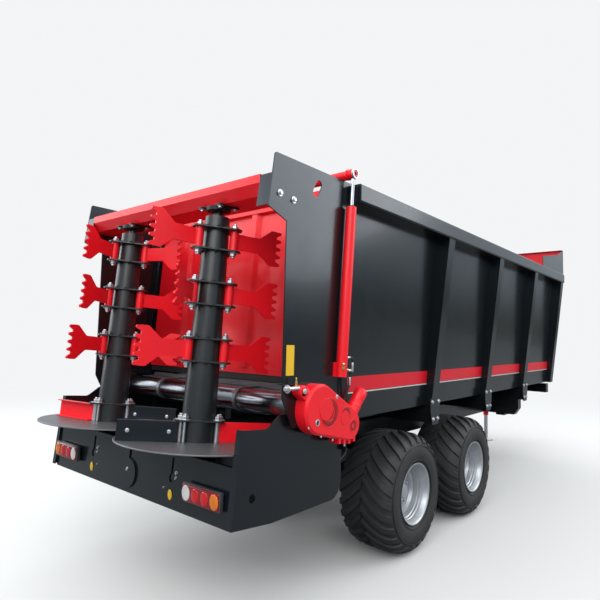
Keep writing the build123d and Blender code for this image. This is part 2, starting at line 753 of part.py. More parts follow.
def beater(side):
    low = DISC_T / 2
    base = Pos(0, 0, (low + RING_UP) / 2) * Cylinder(BASE_R, RING_UP - low)
    ring = flange(RING_UP + RING_T / 2, RING_T)
    cone_low = RING_UP + RING_T
    cone = Pos(0, 0, (cone_low + TUBE_TOP) / 2) * Cone(TUBE_LOW_R, TUBE_TOP_R, TUBE_TOP - cone_low)
    pin = Pos(0, 0, TUBE_TOP + PIN_LEN / 2) * Cylinder(PIN_R, PIN_LEN)
    bits = [base, ring, cone, pin]
    for level in range(3):
        middle = LEVEL_LOW + level * LEVEL_PITCH
        for offset in (-1, 1):
            height = middle + offset * (FLANGE_GAP + FLANGE_T) / 2
            bits.append(flange(height, FLANGE_T))
    return upright(side * DISC_X, DISC_Y, DISC_Z) * join(bits)


out("beater_right", beater(1))
out("beater_left", beater(-1))

# Forked paddle: an arm that flares into a toothed end
half_arm = PADDLE_ARM / 2
half_fan = PADDLE_H / 2
fan_end = PADDLE_LEN - TOOTH_LEN
fork_shape = [
    (0, -half_arm),
    (ARM_LEN, -half_arm),
    (FAN_FROM, -half_fan),
    (fan_end, -half_fan),
    (fan_end, half_fan),
    (FAN_FROM, half_fan),
    (ARM_LEN, half_arm),
    (0, half_arm),
]
fork_face = outline(Plane.XZ, fork_shape, {1: 30, 6: 30, 2: 25, 5: 25})
for step in (-2, -1, 0, 1, 2):
    tip_z = step * (half_fan - TOOTH_TIP_R - TOOTH_INSET) / 2
    root_z = step * (half_fan - TOOTH_ROOT_R - TOOTH_INSET) / 2
    tip = Pos(PADDLE_LEN - TOOTH_TIP_R, tip_z) * Circle(TOOTH_TIP_R)
    root = Pos(fan_end, root_z) * Circle(TOOTH_ROOT_R)
    fork_face = fork_face + Plane.XZ * make_hull([tip.edge(), root.edge()])
fork = Pos(0, PADDLE_T / 2, 0) * extrude(fork_face, PADDLE_T, dir=(0, -1, 0))


def paddle(pivot, aim, height):
    sleeve = Cylinder(SLEEVE_R, FLANGE_GAP)
    whole = Rot(0, 0, aim) * join([fork, sleeve])
    return Pos(*bolt_spot(pivot), height) * whole


# Thrower blade: a channel on an upright bolt between disc and ring plate
blade_low = DISC_T / 2 + 1
blade_h = RING_UP - blade_low - 1
blade_mid = blade_low + blade_h / 2
web = block(0, BLADE_LEN, -BLADE_T / 2, BLADE_T / 2, -blade_h / 2, blade_h / 2)
lip_top_bar = block(30, BLADE_LEN, -BLADE_T / 2, BLADE_LIP, blade_h / 2 - BLADE_T, blade_h / 2)
lip_low_bar = block(30, BLADE_LEN, -BLADE_T / 2, BLADE_LIP, -blade_h / 2, -blade_h / 2 + BLADE_T)
channel = join([web, lip_top_bar, lip_low_bar, Cylinder(BOLT_R, blade_h)])


def blade(pivot, aim):
    return Pos(*bolt_spot(pivot), blade_mid) * Rot(0, 0, aim) * channel


# Direction of every paddle and blade as it hangs on its bolt, by level from the lowest
RIGHT_AIMS = ((256, 76, 150), (304, 69, 130), (262, 69, 150))
LEFT_AIMS = ((288, 40, 130), (298, 69, 150), (294, 18, 150))
RIGHT_BLADES = (235, 62, 150)
LEFT_BLADES = (194, 40, 150)


def paddle_set(side, aims, blades):
    bits = []
    for place in range(3):
        bits.append(blade(BOLT_TURN[place], blades[place]))
        for level in range(3):
            height = LEVEL_LOW + level * LEVEL_PITCH
            bits.append(paddle(BOLT_TURN[place], aims[level][place], height))
    return upright(side * DISC_X, DISC_Y, DISC_Z) * join(bits)


out("paddles_right", paddle_set(1, RIGHT_AIMS, RIGHT_BLADES))
out("paddles_left", paddle_set(-1, LEFT_AIMS, LEFT_BLADES))

# Hood beam over the beaters, with a bright strip edge behind and two bearings below
hood_top = HOOD_LOW + HOOD_H
strip_shape = [
    (HOOD_BACK, hood_top),
    (HOOD_BACK, hood_top - HOOD_STRIP),
    (HOOD_BACK + 45, HOOD_LOW),
    (HOOD_BACK + 45, hood_top),
]
strip_half = PLATE_IN - HOOD_END - FIT
hood_half = PLATE_IN - FIT
hood_bits = [
    plate_yz(strip_shape, -strip_half, strip_half),
    block(-hood_half, hood_half, HOOD_BACK + 45, HOOD_BACK + HOOD_D, HOOD_LOW, hood_top),
]
bearing_y = DISC_Y + (TUBE_TOP + PIN_LEN) * math.sin(LEAN_RAD)
bearing_low = HOOD_LOW - BEARING_H
for side in (-1, 1):
    ring = rod_z(bearing_low, HOOD_LOW, side * DISC_X, bearing_y, BEARING_R)
    hood_bits.append(ring)
hood = join(hood_bits)
for side in (-1, 1):
    hood = hood - rod_z(bearing_low - 1, HOOD_LOW - 4, side * DISC_X, bearing_y, PIN_R + RUN_GAP)
out("hood_beam", hood)

# Gate: a sheet with folded ribs behind, a flat edge at its foot and a rubber flap
gate_mid = GATE_LOW + GATE_H / 2
gate_frame = upright(0, GATE_Y, gate_mid)
half_h = GATE_H / 2
gate_bits = [block(-GATE_HALF, GATE_HALF, -GATE_T / 2, GATE_T / 2, -half_h, half_h)]
rib_section = [
    (-GATE_RIB_W / 2, -GATE_T / 2),
    (GATE_RIB_W / 2, -GATE_T / 2),
    (GATE_RIB_W / 4, -GATE_T / 2 - GATE_RIB_D),
    (-GATE_RIB_W / 4, -GATE_T / 2 - GATE_RIB_D),
]
rib = plate_xy(rib_section, -half_h + 45, half_h)
for place in (-1, 0, 1, 2):
    rib_x = (place - 0.5) * GATE_RIB_PITCH
    gate_bits.append(Pos(rib_x, 0, 0) * rib)
gate_bits.append(block(-GATE_HALF, GATE_HALF, -GATE_T / 2 - 10, -GATE_T / 2, -half_h, -half_h + 45))
out("gate", gate_frame * join(gate_bits))
flap = gate_frame * block(-GATE_HALF, GATE_HALF, -3, 3, -half_h - FLAP_H, -half_h)
out("gate_flap", flap)

# Cross tube on two struts above the gate, with an arm and a rod eye at each end
cross_y = gate_y(CROSS_BAR_Z)
arm_out = CYL_X - EYE_W / 2 - 2
tube_bits = [rod_x(-arm_out, arm_out, cross_y, CROSS_BAR_Z, CROSS_TUBE_R)]
for side in (-1, 1):
    for place in (0.2, 0.6):
        strut_x = side * place * GATE_HALF
        strut = block(strut_x - 45, strut_x + 45, -GATE_T / 2, GATE_T / 2, half_h, half_h + CROSS_BAR_Z - GATE_TOP)
        tube_bits.append(gate_frame * strut)
    eye_x = side * CYL_X
    ring = rod_x(eye_x - EYE_W / 2, eye_x + EYE_W / 2, CYL_Y, CYL_Z, EYE_RING)
    inner_x = side * (arm_out - 60)
    pin = rod_x(min(eye_x, inner_x), max(eye_x, inner_x), CYL_Y, CYL_Z, EYE_RING - 8)
    tube_bits += [ring, pin]
out("gate_crossbar", join(tube_bits))
rods = []
barrels = []
rod_len = EYE_RING + ROD_SHOW + BARREL_LEN - 70
for side in (-1, 1):
    line = upright(side * CYL_X, CYL_Y, CYL_Z)
    shaft_len = rod_len - EYE_RING
    shaft = Pos(0, 0, -EYE_RING - FIT - shaft_len / 2) * Cylinder(ROD_R, shaft_len)
    rods.append(line * shaft)
    tube = Pos(0, 0, -BARREL_TOP - BARREL_LEN / 2) * Cylinder(CYL_R, BARREL_LEN)
    bore = Pos(0, 0, -BARREL_TOP - BARREL_LEN / 2 + 30) * Cylinder(CYL_R - CYL_WALL, BARREL_LEN)
    foot_in = CYL_OFF + CYL_R
    foot = Pos(-side * foot_in / 2, 0, -BARREL_TOP - BARREL_LEN + 45) * Box(foot_in, 60, 90)
    barrel = line * join([tube, foot]) - line * bore
    barrels.append(barrel)
out("gate_rods", Compound(children=rods))
out("gate_cylinders", Compound(children=barrels))

# Floor gearbox: a round case with a smaller lobe, two bosses, sump ribs and a motor
box_out = PLATE_X + BOX_FACE
small_y = ROLLER_Y + SMALL_FWD
small_z = ROLLER_Z - SMALL_DROP
case_edges = [
    (Pos(ROLLER_Y, ROLLER_Z) * Circle(BIG_R)).edge(),
    (Pos(small_y, small_z) * Circle(SMALL_R)).edge(),
]
case_face = Plane.YZ * make_hull(case_edges)
case = Pos(PLATE_X, 0, 0) * extrude(case_face, BOX_FACE)
case = chamfer(case.faces().sort_by(Axis.X)[-1].edges(), BOX_BOSS)
gearbox_bits = [case, rod_x(box_out, box_out + 3, ROLLER_Y + 40, ROLLER_Z, 66)]
gearbox_bits.append(rod_x(box_out, box_out + 3, small_y - 70, small_z + 50, 44))
for rib in range(4):
    rib_y = small_y - 120 + rib * 52
    rib_z = small_z - SMALL_R - 14 + abs(rib - 2) * 6
    gearbox_bits.append(block(PLATE_X, box_out - 8, rib_y, rib_y + 22, rib_z, small_z - SMALL_R / 2))
motor = Location((PLATE_X + MOTOR_R + 1, small_y + 45, small_z + 55), (-42, 0, 0))
gearbox_bits.append(motor * Pos(0, 0, MOTOR_LEN / 2) * Cylinder(MOTOR_R, MOTOR_LEN))
gearbox = join(gearbox_bits)
gearbox_limit = block(PLATE_X, RAIL_OUT - FIT, BOX_REAR - UNIT_LEN, BOX_FRONT, 0, HEAD_TOP)
out("side_gearbox", gearbox & gearbox_limit)

# Axles: a square bar with round spindles
for count in range(2):
    ay = count * AXLE_PITCH
    half = AXLE_BAR / 2
    bar_end = TRACK_HALF - TYRE_W / 2 - RUN_GAP
    bar = block(-bar_end, bar_end, ay - half, ay + half, AXLE_Z - half, AXLE_Z + half)
    tip = TRACK_HALF + TYRE_W / 2 - RIM_SINK - 35
    spindle = rod_x(-tip, tip, ay, AXLE_Z, SPINDLE_R)
    out(("axle_rear", "axle_front")[count], join([bar, spindle]))

# Leaf springs: a stack that steps to its middle, held by brackets under the beams
spring_bits = []
seat = AXLE_Z + AXLE_BAR / 2
reach = AXLE_PITCH / 2 - 125
for side in (-1, 1):
    sx = side * BEAM_X
    left = sx - BEAM_W * 0.4
    right = sx + BEAM_W * 0.4
    for count in range(2):
        ay = count * AXLE_PITCH
        top = BEAM_LOW - 38
        stack = plate_yz([
            (ay - reach, top),
            (ay - reach, top - 16),
            (ay - reach * 0.66, top - 74),
            (ay - reach * 0.33, top - 132),
            (ay - 55, seat),
            (ay + 55, seat),
            (ay + reach * 0.33, top - 132),
            (ay + reach * 0.66, top - 74),
            (ay + reach, top - 16),
            (ay + reach, top),
            (ay + 60, seat + 90),
            (ay - 60, seat + 90),
        ], left, right)
        spring_bits.append(stack)
        for end in (-reach, reach):
            hanger = plate_yz([
                (ay + end - 30, top - 22),
                (ay + end + 30, top - 22),
                (ay + end + 60, BEAM_LOW),
                (ay + end - 60, BEAM_LOW),
            ], left - 6, right + 6)
            spring_bits.append(hanger)
springs = join(spring_bits)
out("springs", springs)


# Tyre: a ring of flat facets, with slanted lugs that meet near the middle and fall at the shoulder
def many_sided(x, radius, sides):
    corners = []
    for count in range(sides):
        angle = math.tau / sides * (count + 0.5)
        corners.append((radius * math.sin(angle), radius * math.cos(angle)))
    return Plane.YZ.offset(x) * make_face(Polyline(*corners, close=True))


def tyre_shape():
    half = TYRE_W / 2
    tread_r = TYRE_R - LUG_H
    corner = 1 / math.cos(math.pi / RING_SIDES)
    wall_r = (RIM_R + tread_r) / 2
    stations = [
        (-half + 28, RIM_R + 30),
        (-half, wall_r),
        (-half + SHOULDER, tread_r - 8),
        (half - SHOULDER, tread_r - 8),
        (half, wall_r),
        (half - 28, RIM_R + 30),
    ]
    sections = []
    for x, radius in stations:
        sections.append(many_sided(x, radius * (1 + corner) / 2, RING_SIDES))
    ring = loft(sections, ruled=True)
    ring = ring - extrude(many_sided(-half, (RIM_R + FIT) * corner, RING_SIDES), TYRE_W)
    reach = half - 14
    length = reach / math.cos(math.radians(LUG_TURN))
    turn = math.radians(LUG_TURN)
    run = length / 2 * math.sin(turn) + LUG_W / 2 * math.cos(turn)
    crest = math.sqrt(TYRE_R ** 2 - run ** 2)
    side = [
        (-length / 2, TYRE_R - 50),
        (-length / 2, crest),
        (length * 0.42, crest),
        (length * 0.42, TYRE_R - 70),
    ]
    bar = Pos(0, LUG_W / 2, 0) * extrude(Plane.XZ * make_face(Polyline(*side, close=True)), LUG_W)
    right = Pos(reach / 2 + 1, 0, 0) * Rot(0, 0, LUG_TURN) * bar
    lugs = []
    for count in range(LUG_COUNT):
        step = 360.0 / LUG_COUNT
        lugs.append(Rot(step * count, 0, 0) * right)
        lugs.append(Rot(step * (count + 0.5), 0, 0) * other_side(right))
    return ring.fuse(*lugs)


# Rim: a stepped barrel with lips, a sunk disc and a hub bored for the spindle
def rim_shape():
    face = TYRE_W / 2 - 20
    well = RIM_R - RIM_WELL
    wall = RIM_WALL
    section = [
        (face, RIM_R),
        (face - 12, RIM_R),
        (face - 18, RIM_R - 15),
        (face - 62, RIM_R - 15),
        (face - 84, well),
        (-face + 18, well),
        (-face + 12, RIM_R),
        (-face, RIM_R),
        (-face, RIM_R - wall),
        (-face + 14, well - wall),
        (face - 88, well - wall),
        (face - 66, RIM_R - 15 - wall),
        (face - 14, RIM_R - 15 - wall),
        (face, RIM_R - wall),
    ]
    barrel = revolve(Plane.XZ * make_face(Polyline(*section, close=True)), Axis.X)
    plate_x = TYRE_W / 2 - RIM_SINK
    plate = rod_x(plate_x - 10, plate_x, 0, 0, well - 2)
    dome = Pos(plate_x + 12, 0, 0) * Rot(0, 90, 0) * Cone(HUB_R + 40, HUB_R + 16, 24)
    hub = rod_x(plate_x - HUB_LEN, plate_x + 34, 0, 0, HUB_R * 0.8)
    bore = rod_x(-TYRE_W, plate_x - 25, 0, 0, SPINDLE_R + SPINDLE_FIT)
    return join([barrel, plate, dome, hub]) - bore


one_tyre = tyre_shape()
one_rim = rim_shape()
for count in range(2):
    name = ("rear", "front")[count]
    place = Pos(TRACK_HALF, count * AXLE_PITCH, AXLE_Z)
    out("tyre_right_" + name, place * one_tyre)
    out("rim_right_" + name, place * one_rim)
    out("tyre_left_" + name, other_side(place * one_tyre))
    out("rim_left_" + name, other_side(place * one_rim))
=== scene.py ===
# %% [markdown]
# # A manure spreader, dressed for its picture
# The machine's solids come ready made from its CAD model, in metres, with +Y forward and +X to its right.
# This lesson gives them paint, steel and rubber, and adds what a CAD model leaves out: tread, rims with
# their nuts, lamp lenses, bolt heads, hoses and painted stripes. Each new piece rides on the body that
# carries it.

# %% Load the frame
import bpy
import bmesh
import math
from mathutils import Matrix, Vector


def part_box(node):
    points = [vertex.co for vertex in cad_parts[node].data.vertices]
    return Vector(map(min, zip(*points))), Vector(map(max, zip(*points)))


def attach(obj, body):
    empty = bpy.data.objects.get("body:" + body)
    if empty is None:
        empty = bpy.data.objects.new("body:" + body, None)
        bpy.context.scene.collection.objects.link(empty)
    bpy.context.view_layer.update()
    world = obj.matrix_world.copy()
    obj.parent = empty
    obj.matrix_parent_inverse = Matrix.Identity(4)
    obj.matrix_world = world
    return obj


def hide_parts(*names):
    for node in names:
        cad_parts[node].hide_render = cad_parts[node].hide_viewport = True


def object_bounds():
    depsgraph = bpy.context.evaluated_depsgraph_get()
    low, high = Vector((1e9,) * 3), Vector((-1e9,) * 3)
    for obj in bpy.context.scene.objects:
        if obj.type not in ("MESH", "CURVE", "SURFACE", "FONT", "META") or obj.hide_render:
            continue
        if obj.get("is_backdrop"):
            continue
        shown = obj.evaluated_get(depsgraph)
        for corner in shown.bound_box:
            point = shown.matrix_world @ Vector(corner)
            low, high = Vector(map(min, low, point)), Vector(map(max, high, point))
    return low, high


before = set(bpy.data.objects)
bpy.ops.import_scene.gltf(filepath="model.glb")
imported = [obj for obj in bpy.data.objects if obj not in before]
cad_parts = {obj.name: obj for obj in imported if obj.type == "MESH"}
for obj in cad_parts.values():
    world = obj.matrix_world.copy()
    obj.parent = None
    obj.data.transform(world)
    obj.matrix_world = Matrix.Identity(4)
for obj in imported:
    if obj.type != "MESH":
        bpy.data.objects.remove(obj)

cad_low, cad_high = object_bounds()

# %% [markdown]
# The photograph was taken from behind and to the right, a little above waist height, with a short lens. The
# camera's place came from fitting straight edges of the machine to their lines in the picture, so its three
# axes are written as one turning matrix: right, up, and back out of the lens.

# %% Camera
rear_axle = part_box("axle_rear")
axle_y = (rear_axle[0].y + rear_axle[1].y) / 2
camera_data = bpy.data.cameras.new("camera")
camera_data.sensor_width = 36.0
camera_data.lens = 30.4
camera = bpy.data.objects.new("camera", camera_data)
bpy.context.scene.collection.objects.link(camera)
bpy.context.scene.camera = camera
camera_turn, camera_tilt, camera_roll = math.radians(40.07), math.radians(4.19), math.radians(1.42)
look = Vector((-math.sin(camera_turn) * math.cos(camera_tilt),
               math.cos(camera_turn) * math.cos(camera_tilt), math.sin(camera_tilt)))
level = Vector((math.cos(camera_turn), math.sin(camera_turn), 0))
above = level.cross(look)
right = level * math.cos(camera_roll) + above * math.sin(camera_roll)
up = above * math.cos(camera_roll) - level * math.sin(camera_roll)
turning = Matrix((right, up, -look)).transposed().to_4x4()
camera.matrix_world = Matrix.Translation((2.952, axle_y - 3.758, 1.679)) @ turning
print("camera stands at", tuple(round(v, 3) for v in camera.matrix_world.translation))

# %% [markdown]
# The machine stands on a plain pale floor under soft light. A large lamp above and to the right stands for
# the sky, a weaker one fills the back, and the world gives the rest: bright overhead and dim near the
# horizon. Only the camera sees the floor and the world pale. To the machine they are darker, or its black
# paint would look grey.

# %% Floor, world and lamps
backdrop = (0.90, 0.91, 0.92, 1)
fade_start, fade_end = 4.5, 14.0
floor_for_camera, floor_for_machine = (0.62, 0.615, 0.60, 1), (0.20, 0.20, 0.20, 1)

floor_mesh = bmesh.new()
bmesh.ops.create_grid(floor_mesh, x_segments=1, y_segments=1, size=40)
floor_data = bpy.data.meshes.new("floor_plane")
floor_mesh.to_mesh(floor_data)
floor_mesh.free()
floor_plane = bpy.data.objects.new("floor_plane", floor_data)
bpy.context.scene.collection.objects.link(floor_plane)
floor_finish = bpy.data.materials.new("pale_floor")
floor_finish.use_nodes = True
floor_data.materials.append(floor_finish)
floor_plane.location.z = -0.001
floor_plane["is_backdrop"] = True

floor_nodes, floor_links = floor_finish.node_tree.nodes, floor_finish.node_tree.links
floor_paint = floor_nodes["Principled BSDF"]
floor_paint.inputs["Roughness"].default_value = 0.9
floor_place = floor_nodes.new("ShaderNodeTexCoord")
floor_reach = floor_nodes.new("ShaderNodeVectorMath")
floor_reach.operation = "LENGTH"
floor_fade = floor_nodes.new("ShaderNodeMapRange")
floor_fade.interpolation_type = "SMOOTHSTEP"
floor_fade.inputs["From Min"].default_value = fade_start
floor_fade.inputs["From Max"].default_value = fade_end
far_floor = floor_nodes.new("ShaderNodeEmission")
far_floor.inputs["Color"].default_value = backdrop
floor_mix = floor_nodes.new("ShaderNodeMixShader")
floor_links.new(floor_place.outputs["Object"], floor_reach.inputs[0])
floor_links.new(floor_reach.outputs["Value"], floor_fade.inputs["Value"])
floor_paths = floor_nodes.new("ShaderNodeLightPath")
floor_seen = floor_nodes.new("ShaderNodeMath")
floor_seen.operation = "MULTIPLY"
floor_links.new(floor_fade.outputs["Result"], floor_seen.inputs[0])
floor_links.new(floor_paths.outputs["Is Camera Ray"], floor_seen.inputs[1])
floor_links.new(floor_seen.outputs["Value"], floor_mix.inputs["Fac"])
floor_shade = floor_nodes.new("ShaderNodeMix")
floor_shade.data_type = "RGBA"
floor_shade.inputs["A"].default_value = floor_for_machine
floor_shade.inputs["B"].default_value = floor_for_camera
floor_links.new(floor_paths.outputs["Is Camera Ray"], floor_shade.inputs["Factor"])
floor_links.new(floor_shade.outputs["Result"], floor_paint.inputs["Base Color"])
floor_links.new(floor_paint.outputs["BSDF"], floor_mix.inputs[1])
floor_links.new(far_floor.outputs["Emission"], floor_mix.inputs[2])
floor_links.new(floor_mix.outputs["Shader"], floor_nodes["Material Output"].inputs["Surface"])

world = bpy.data.worlds.new("soft_studio")
bpy.context.scene.world = world
world.use_nodes = True
air, air_links = world.node_tree.nodes, world.node_tree.links
sky = air["Background"]
sky.inputs["Strength"].default_value = 1.0
direction = air.new("ShaderNodeTexCoord")
parts = air.new("ShaderNodeSeparateXYZ")
dome = air.new("ShaderNodeValToRGB")
horizon, overhead = dome.color_ramp.elements
horizon.position, horizon.color = 0.0, (0.11, 0.13, 0.12, 1)
overhead.position, overhead.color = 0.60, (1.45, 1.51, 1.58, 1)
low_sky = dome.color_ramp.elements.new(0.07)
low_sky.color = (0.50, 0.58, 0.64, 1)
air_links.new(direction.outputs["Generated"], parts.inputs["Vector"])
air_links.new(parts.outputs["Z"], dome.inputs["Fac"])
air_links.new(dome.outputs["Color"], sky.inputs["Color"])
seen = air.new("ShaderNodeBackground")
seen.inputs["Color"].default_value = backdrop
paths = air.new("ShaderNodeLightPath")
choose = air.new("ShaderNodeMixShader")
shown = air.new("ShaderNodeMath")
shown.operation = "MAXIMUM"
air_links.new(paths.outputs["Is Camera Ray"], shown.inputs[0])
air_links.new(paths.outputs["Is Transmission Ray"], shown.inputs[1])
air_links.new(shown.outputs["Value"], choose.inputs["Fac"])
air_links.new(sky.outputs["Background"], choose.inputs[1])
air_links.new(seen.outputs["Background"], choose.inputs[2])
air_links.new(choose.outputs["Shader"], air["World Output"].inputs["Surface"])

def soft_lamp(name, place, aim, size, power):
    data = bpy.data.lights.new(name, "AREA")
    data.shape = "DISK"
    data.size = size
    data.energy = power
    lamp = bpy.data.objects.new(name, data)
    bpy.context.scene.collection.objects.link(lamp)
    lamp.location = place
    lamp.rotation_euler = (Vector(aim) - Vector(place)).to_track_quat("-Z", "Y").to_euler()
    print(name, "power", power)

soft_lamp("key_lamp", (4.0, -9.5, 7.5), (0, -2.5, 1.2), 9.0, 560)
soft_lamp("fill_lamp", (-7, -6.5, 4.5), (0, -2.5, 1.4), 7.0, 280)
soft_lamp("rim_lamp", (8.0, 5.5, 6.5), (0.8, 0, 1.6), 7.0, 380)
bpy.context.scene.view_settings.view_transform = "Standard"

# %% [markdown]
# Every finish is a small recipe. A coarse noise makes the colour drift by a few parts in a hundred, a finer
# one changes the roughness where hands and weather have been, and a last one lifts the surface a little, as
# the orange peel of sprayed paint or the skin of a casting does. A Bevel node rounds the look of sharp
# edges, which catches light.

# %% A recipe for finishes
def finish_recipe(name, colour, drift, rough, rough_span=0.06, metal=0.0, coat=0.0,
                  grain=6.0, peel=260.0, peel_depth=0.0002, edge=0.002, gloss=0.5):
    made = bpy.data.materials.new(name)
    made.use_nodes = True
    nodes, links = made.node_tree.nodes, made.node_tree.links
    shader = nodes["Principled BSDF"]
    shader.inputs["Metallic"].default_value = metal
    shader.inputs["Specular IOR Level"].default_value = gloss
    shader.inputs["Coat Weight"].default_value = coat
    shader.inputs["Coat Roughness"].default_value = 0.06
    place = nodes.new("ShaderNodeTexCoord")
    broad = nodes.new("ShaderNodeTexNoise")
    broad.inputs["Scale"].default_value = grain
    broad.inputs["Detail"].default_value = 6
    links.new(place.outputs["Object"], broad.inputs["Vector"])
    tint = nodes.new("ShaderNodeMix")
    tint.data_type = "RGBA"
    tint.inputs["A"].default_value = (*colour, 1)
    tint.inputs["B"].default_value = (*drift, 1)
    links.new(broad.outputs["Fac"], tint.inputs["Factor"])
    links.new(tint.outputs["Result"], shader.inputs["Base Color"])
    worn = nodes.new("ShaderNodeTexNoise")
    worn.inputs["Scale"].default_value = grain * 3.3
    worn.inputs["Detail"].default_value = 8
    links.new(place.outputs["Object"], worn.inputs["Vector"])
    span = nodes.new("ShaderNodeMapRange")
    span.inputs["To Min"].default_value = rough - rough_span
    span.inputs["To Max"].default_value = rough + rough_span
    links.new(worn.outputs["Fac"], span.inputs["Value"])
    links.new(span.outputs["Result"], shader.inputs["Roughness"])
    skin = nodes.new("ShaderNodeTexNoise")
    skin.inputs["Scale"].default_value = peel
    links.new(place.outputs["Object"], skin.inputs["Vector"])
    lift = nodes.new("ShaderNodeBump")
    lift.inputs["Strength"].default_value = 0.35
    lift.inputs["Distance"].default_value = peel_depth
    links.new(skin.outputs["Fac"], lift.inputs["Height"])
    if edge:
        rounding = nodes.new("ShaderNodeBevel")
        rounding.samples = 4
        rounding.inputs["Radius"].default_value = edge
        links.new(rounding.outputs["Normal"], lift.inputs["Normal"])
    links.new(lift.outputs["Normal"], shader.inputs["Normal"])
    return made

black_paint = finish_recipe("black_paint", (0.0050, 0.0062, 0.0070), (0.0085, 0.0102, 0.0115), 0.22,
                            coat=0.10, grain=2.2, gloss=0.42)
# The bluish specular tint is painted light: it gives every highlight on the black paint the blue of a sky.
black_paint.node_tree.nodes["Principled BSDF"].inputs["Specular Tint"].default_value = (0.74, 0.87, 1.0, 1)
red_paint = finish_recipe("red_paint", (0.86, 0.009, 0.018), (0.74, 0.007, 0.015), 0.32,
                          coat=0.10, grain=4.0, gloss=0.35)
beater_paint = finish_recipe("beater_paint", (0.0085, 0.0098, 0.0110), (0.0150, 0.0170, 0.0185), 0.33,
                             coat=0.10, grain=9.0)
print("paints:", black_paint.name, red_paint.name, beater_paint.name)

# %% [markdown]
# Bare and plated metals need a metallic shader. The zinc on rims and bolts is pale and broken up in
# patches, chrome is almost a mirror, cast iron is rough, and the spinning discs carry fine rings from the
# mud that slides off them.

# %% Metals
zinc = finish_recipe("zinc_plate", (0.62, 0.64, 0.66), (0.50, 0.52, 0.55), 0.30, 0.09,
                     metal=0.85, grain=18, peel=500)
rim_silver = finish_recipe("rim_silver", (0.52, 0.54, 0.56), (0.36, 0.38, 0.40), 0.42, 0.10,
                           metal=0.65, coat=0.05, grain=22)
chrome = finish_recipe("chrome", (0.44, 0.46, 0.49), (0.38, 0.40, 0.43), 0.16, 0.03,
                       metal=1.0, grain=14, peel_depth=0.00002)
cast_iron = finish_recipe("cast_iron", (0.010, 0.010, 0.011), (0.022, 0.022, 0.023), 0.55, 0.1,
                          metal=0.3, grain=30, peel=420, peel_depth=0.0006)
brass = finish_recipe("brass", (0.70, 0.50, 0.20), (0.58, 0.40, 0.15), 0.28, metal=1.0, grain=40)
worn_steel = finish_recipe("worn_steel", (0.13, 0.135, 0.14), (0.20, 0.205, 0.21), 0.42, 0.1,
                           metal=0.6, grain=10, peel=340, peel_depth=0.0003)
bright_steel = finish_recipe("bright_steel", (0.26, 0.28, 0.31), (0.14, 0.15, 0.17), 0.20, 0.07,
                             metal=1.0, grain=16, peel=420, peel_depth=0.0002)

def ringed_steel(name, centre):
    made = worn_steel.copy()
    made.name = name
    nodes, links = made.node_tree.nodes, made.node_tree.links
    place = next(n for n in nodes if n.type == "TEX_COORD")
    shader = nodes["Principled BSDF"]
    centred = nodes.new("ShaderNodeMapping")
    centred.inputs["Location"].default_value = (-centre[0], -centre[1], 0)
    rings = nodes.new("ShaderNodeTexWave")
    rings.wave_type = "RINGS"
    rings.rings_direction = "Z"
    rings.inputs["Scale"].default_value = 22
    rings.inputs["Distortion"].default_value = 1.2
    links.new(place.outputs["Object"], centred.inputs["Vector"])
    links.new(centred.outputs["Vector"], rings.inputs["Vector"])
    mixed = nodes.new("ShaderNodeMix")
    mixed.data_type = "RGBA"
    mixed.inputs["A"].default_value = (0.105, 0.11, 0.115, 1)
    mixed.inputs["B"].default_value = (0.15, 0.155, 0.16, 1)
    links.new(rings.outputs["Fac"], mixed.inputs["Factor"])
    links.new(mixed.outputs["Result"], shader.inputs["Base Color"])
    return made

metals = (zinc, rim_silver, chrome, cast_iron, brass, worn_steel, bright_steel)
print("metals:", ", ".join(metal.name for metal in metals))

# %% [markdown]
# Rubber is dull and dark with a dusty bloom. Hoses and the gate's flap use a plainer kind than the tyres
# do.

# %% Rubber
tyre_rubber = finish_recipe("tyre_rubber", (0.011, 0.0115, 0.012), (0.026, 0.0265, 0.027), 0.62, 0.1,
                            grain=7, peel=160, peel_depth=0.0006, edge=0.003)
hose_rubber = finish_recipe("hose_rubber", (0.012, 0.012, 0.013), (0.020, 0.020, 0.021), 0.5, grain=30,
                            edge=0)
print("rubbers:", tyre_rubber.name, hose_rubber.name)

# %% [markdown]
# The CAD nodes whose shape is right stay as they are and only get a finish. Their names say where each
# belongs.

# %% Dress the CAD nodes
dressed = []

def dress(material, *names):
    for name in names:
        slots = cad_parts[name].data.materials
        slots.clear()
        slots.append(material)
        dressed.append(name)

dress(black_paint, "axle_front", "axle_rear", "cross_beams", "floor_bearers", "main_beams", "drawbar",
      "side_frame_left", "side_frame_right", "side_wall_left", "side_wall_right", "upper_plate_left",
      "upper_plate_right", "lower_plates", "rear_panel", "springs", "gear_case", "drive_line")
dress(red_paint, "hood_beam", "gate", "gate_crossbar", "gate_cylinders", "paddles_left", "paddles_right",
      "headboard", "side_gearbox", "jack_tube")
dress(beater_paint, "beater_left", "beater_right")
dress(worn_steel, "floor", "scraper")
dress(zinc, "jack_leg")
dress(chrome, "gate_rods")
dress(hose_rubber, "gate_flap")
dress(cast_iron, "towing_eye")
for side in ("left", "right"):
    low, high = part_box("disc_" + side)
    middle = ((low.x + high.x) / 2, (low.y + high.y) / 2)
    dress(ringed_steel("disc_steel_" + side, middle), "disc_" + side)
print("dressed nodes:", len(dressed))

# %% [markdown]
# New pieces start as a bmesh and end here: the helper turns one into an object, smooths it but keeps edges
# sharper than 35 degrees, gives it its finish and lets it ride on its body.

# %% From a bmesh to a piece
def make_piece(name, shape, material, body, smooth=True):
    data = bpy.data.meshes.new(name)
    shape.to_mesh(data)
    shape.free()
    data.materials.append(material)
    if smooth:
        data.polygons.foreach_set("use_smooth", [True] * len(data.polygons))
        data.set_sharp_from_angle(angle=math.radians(35))
    piece = bpy.data.objects.new(name, data)
    bpy.context.scene.collection.objects.link(piece)
    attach(piece, body)
    print(name, len(data.polygons), "faces")
    return piece

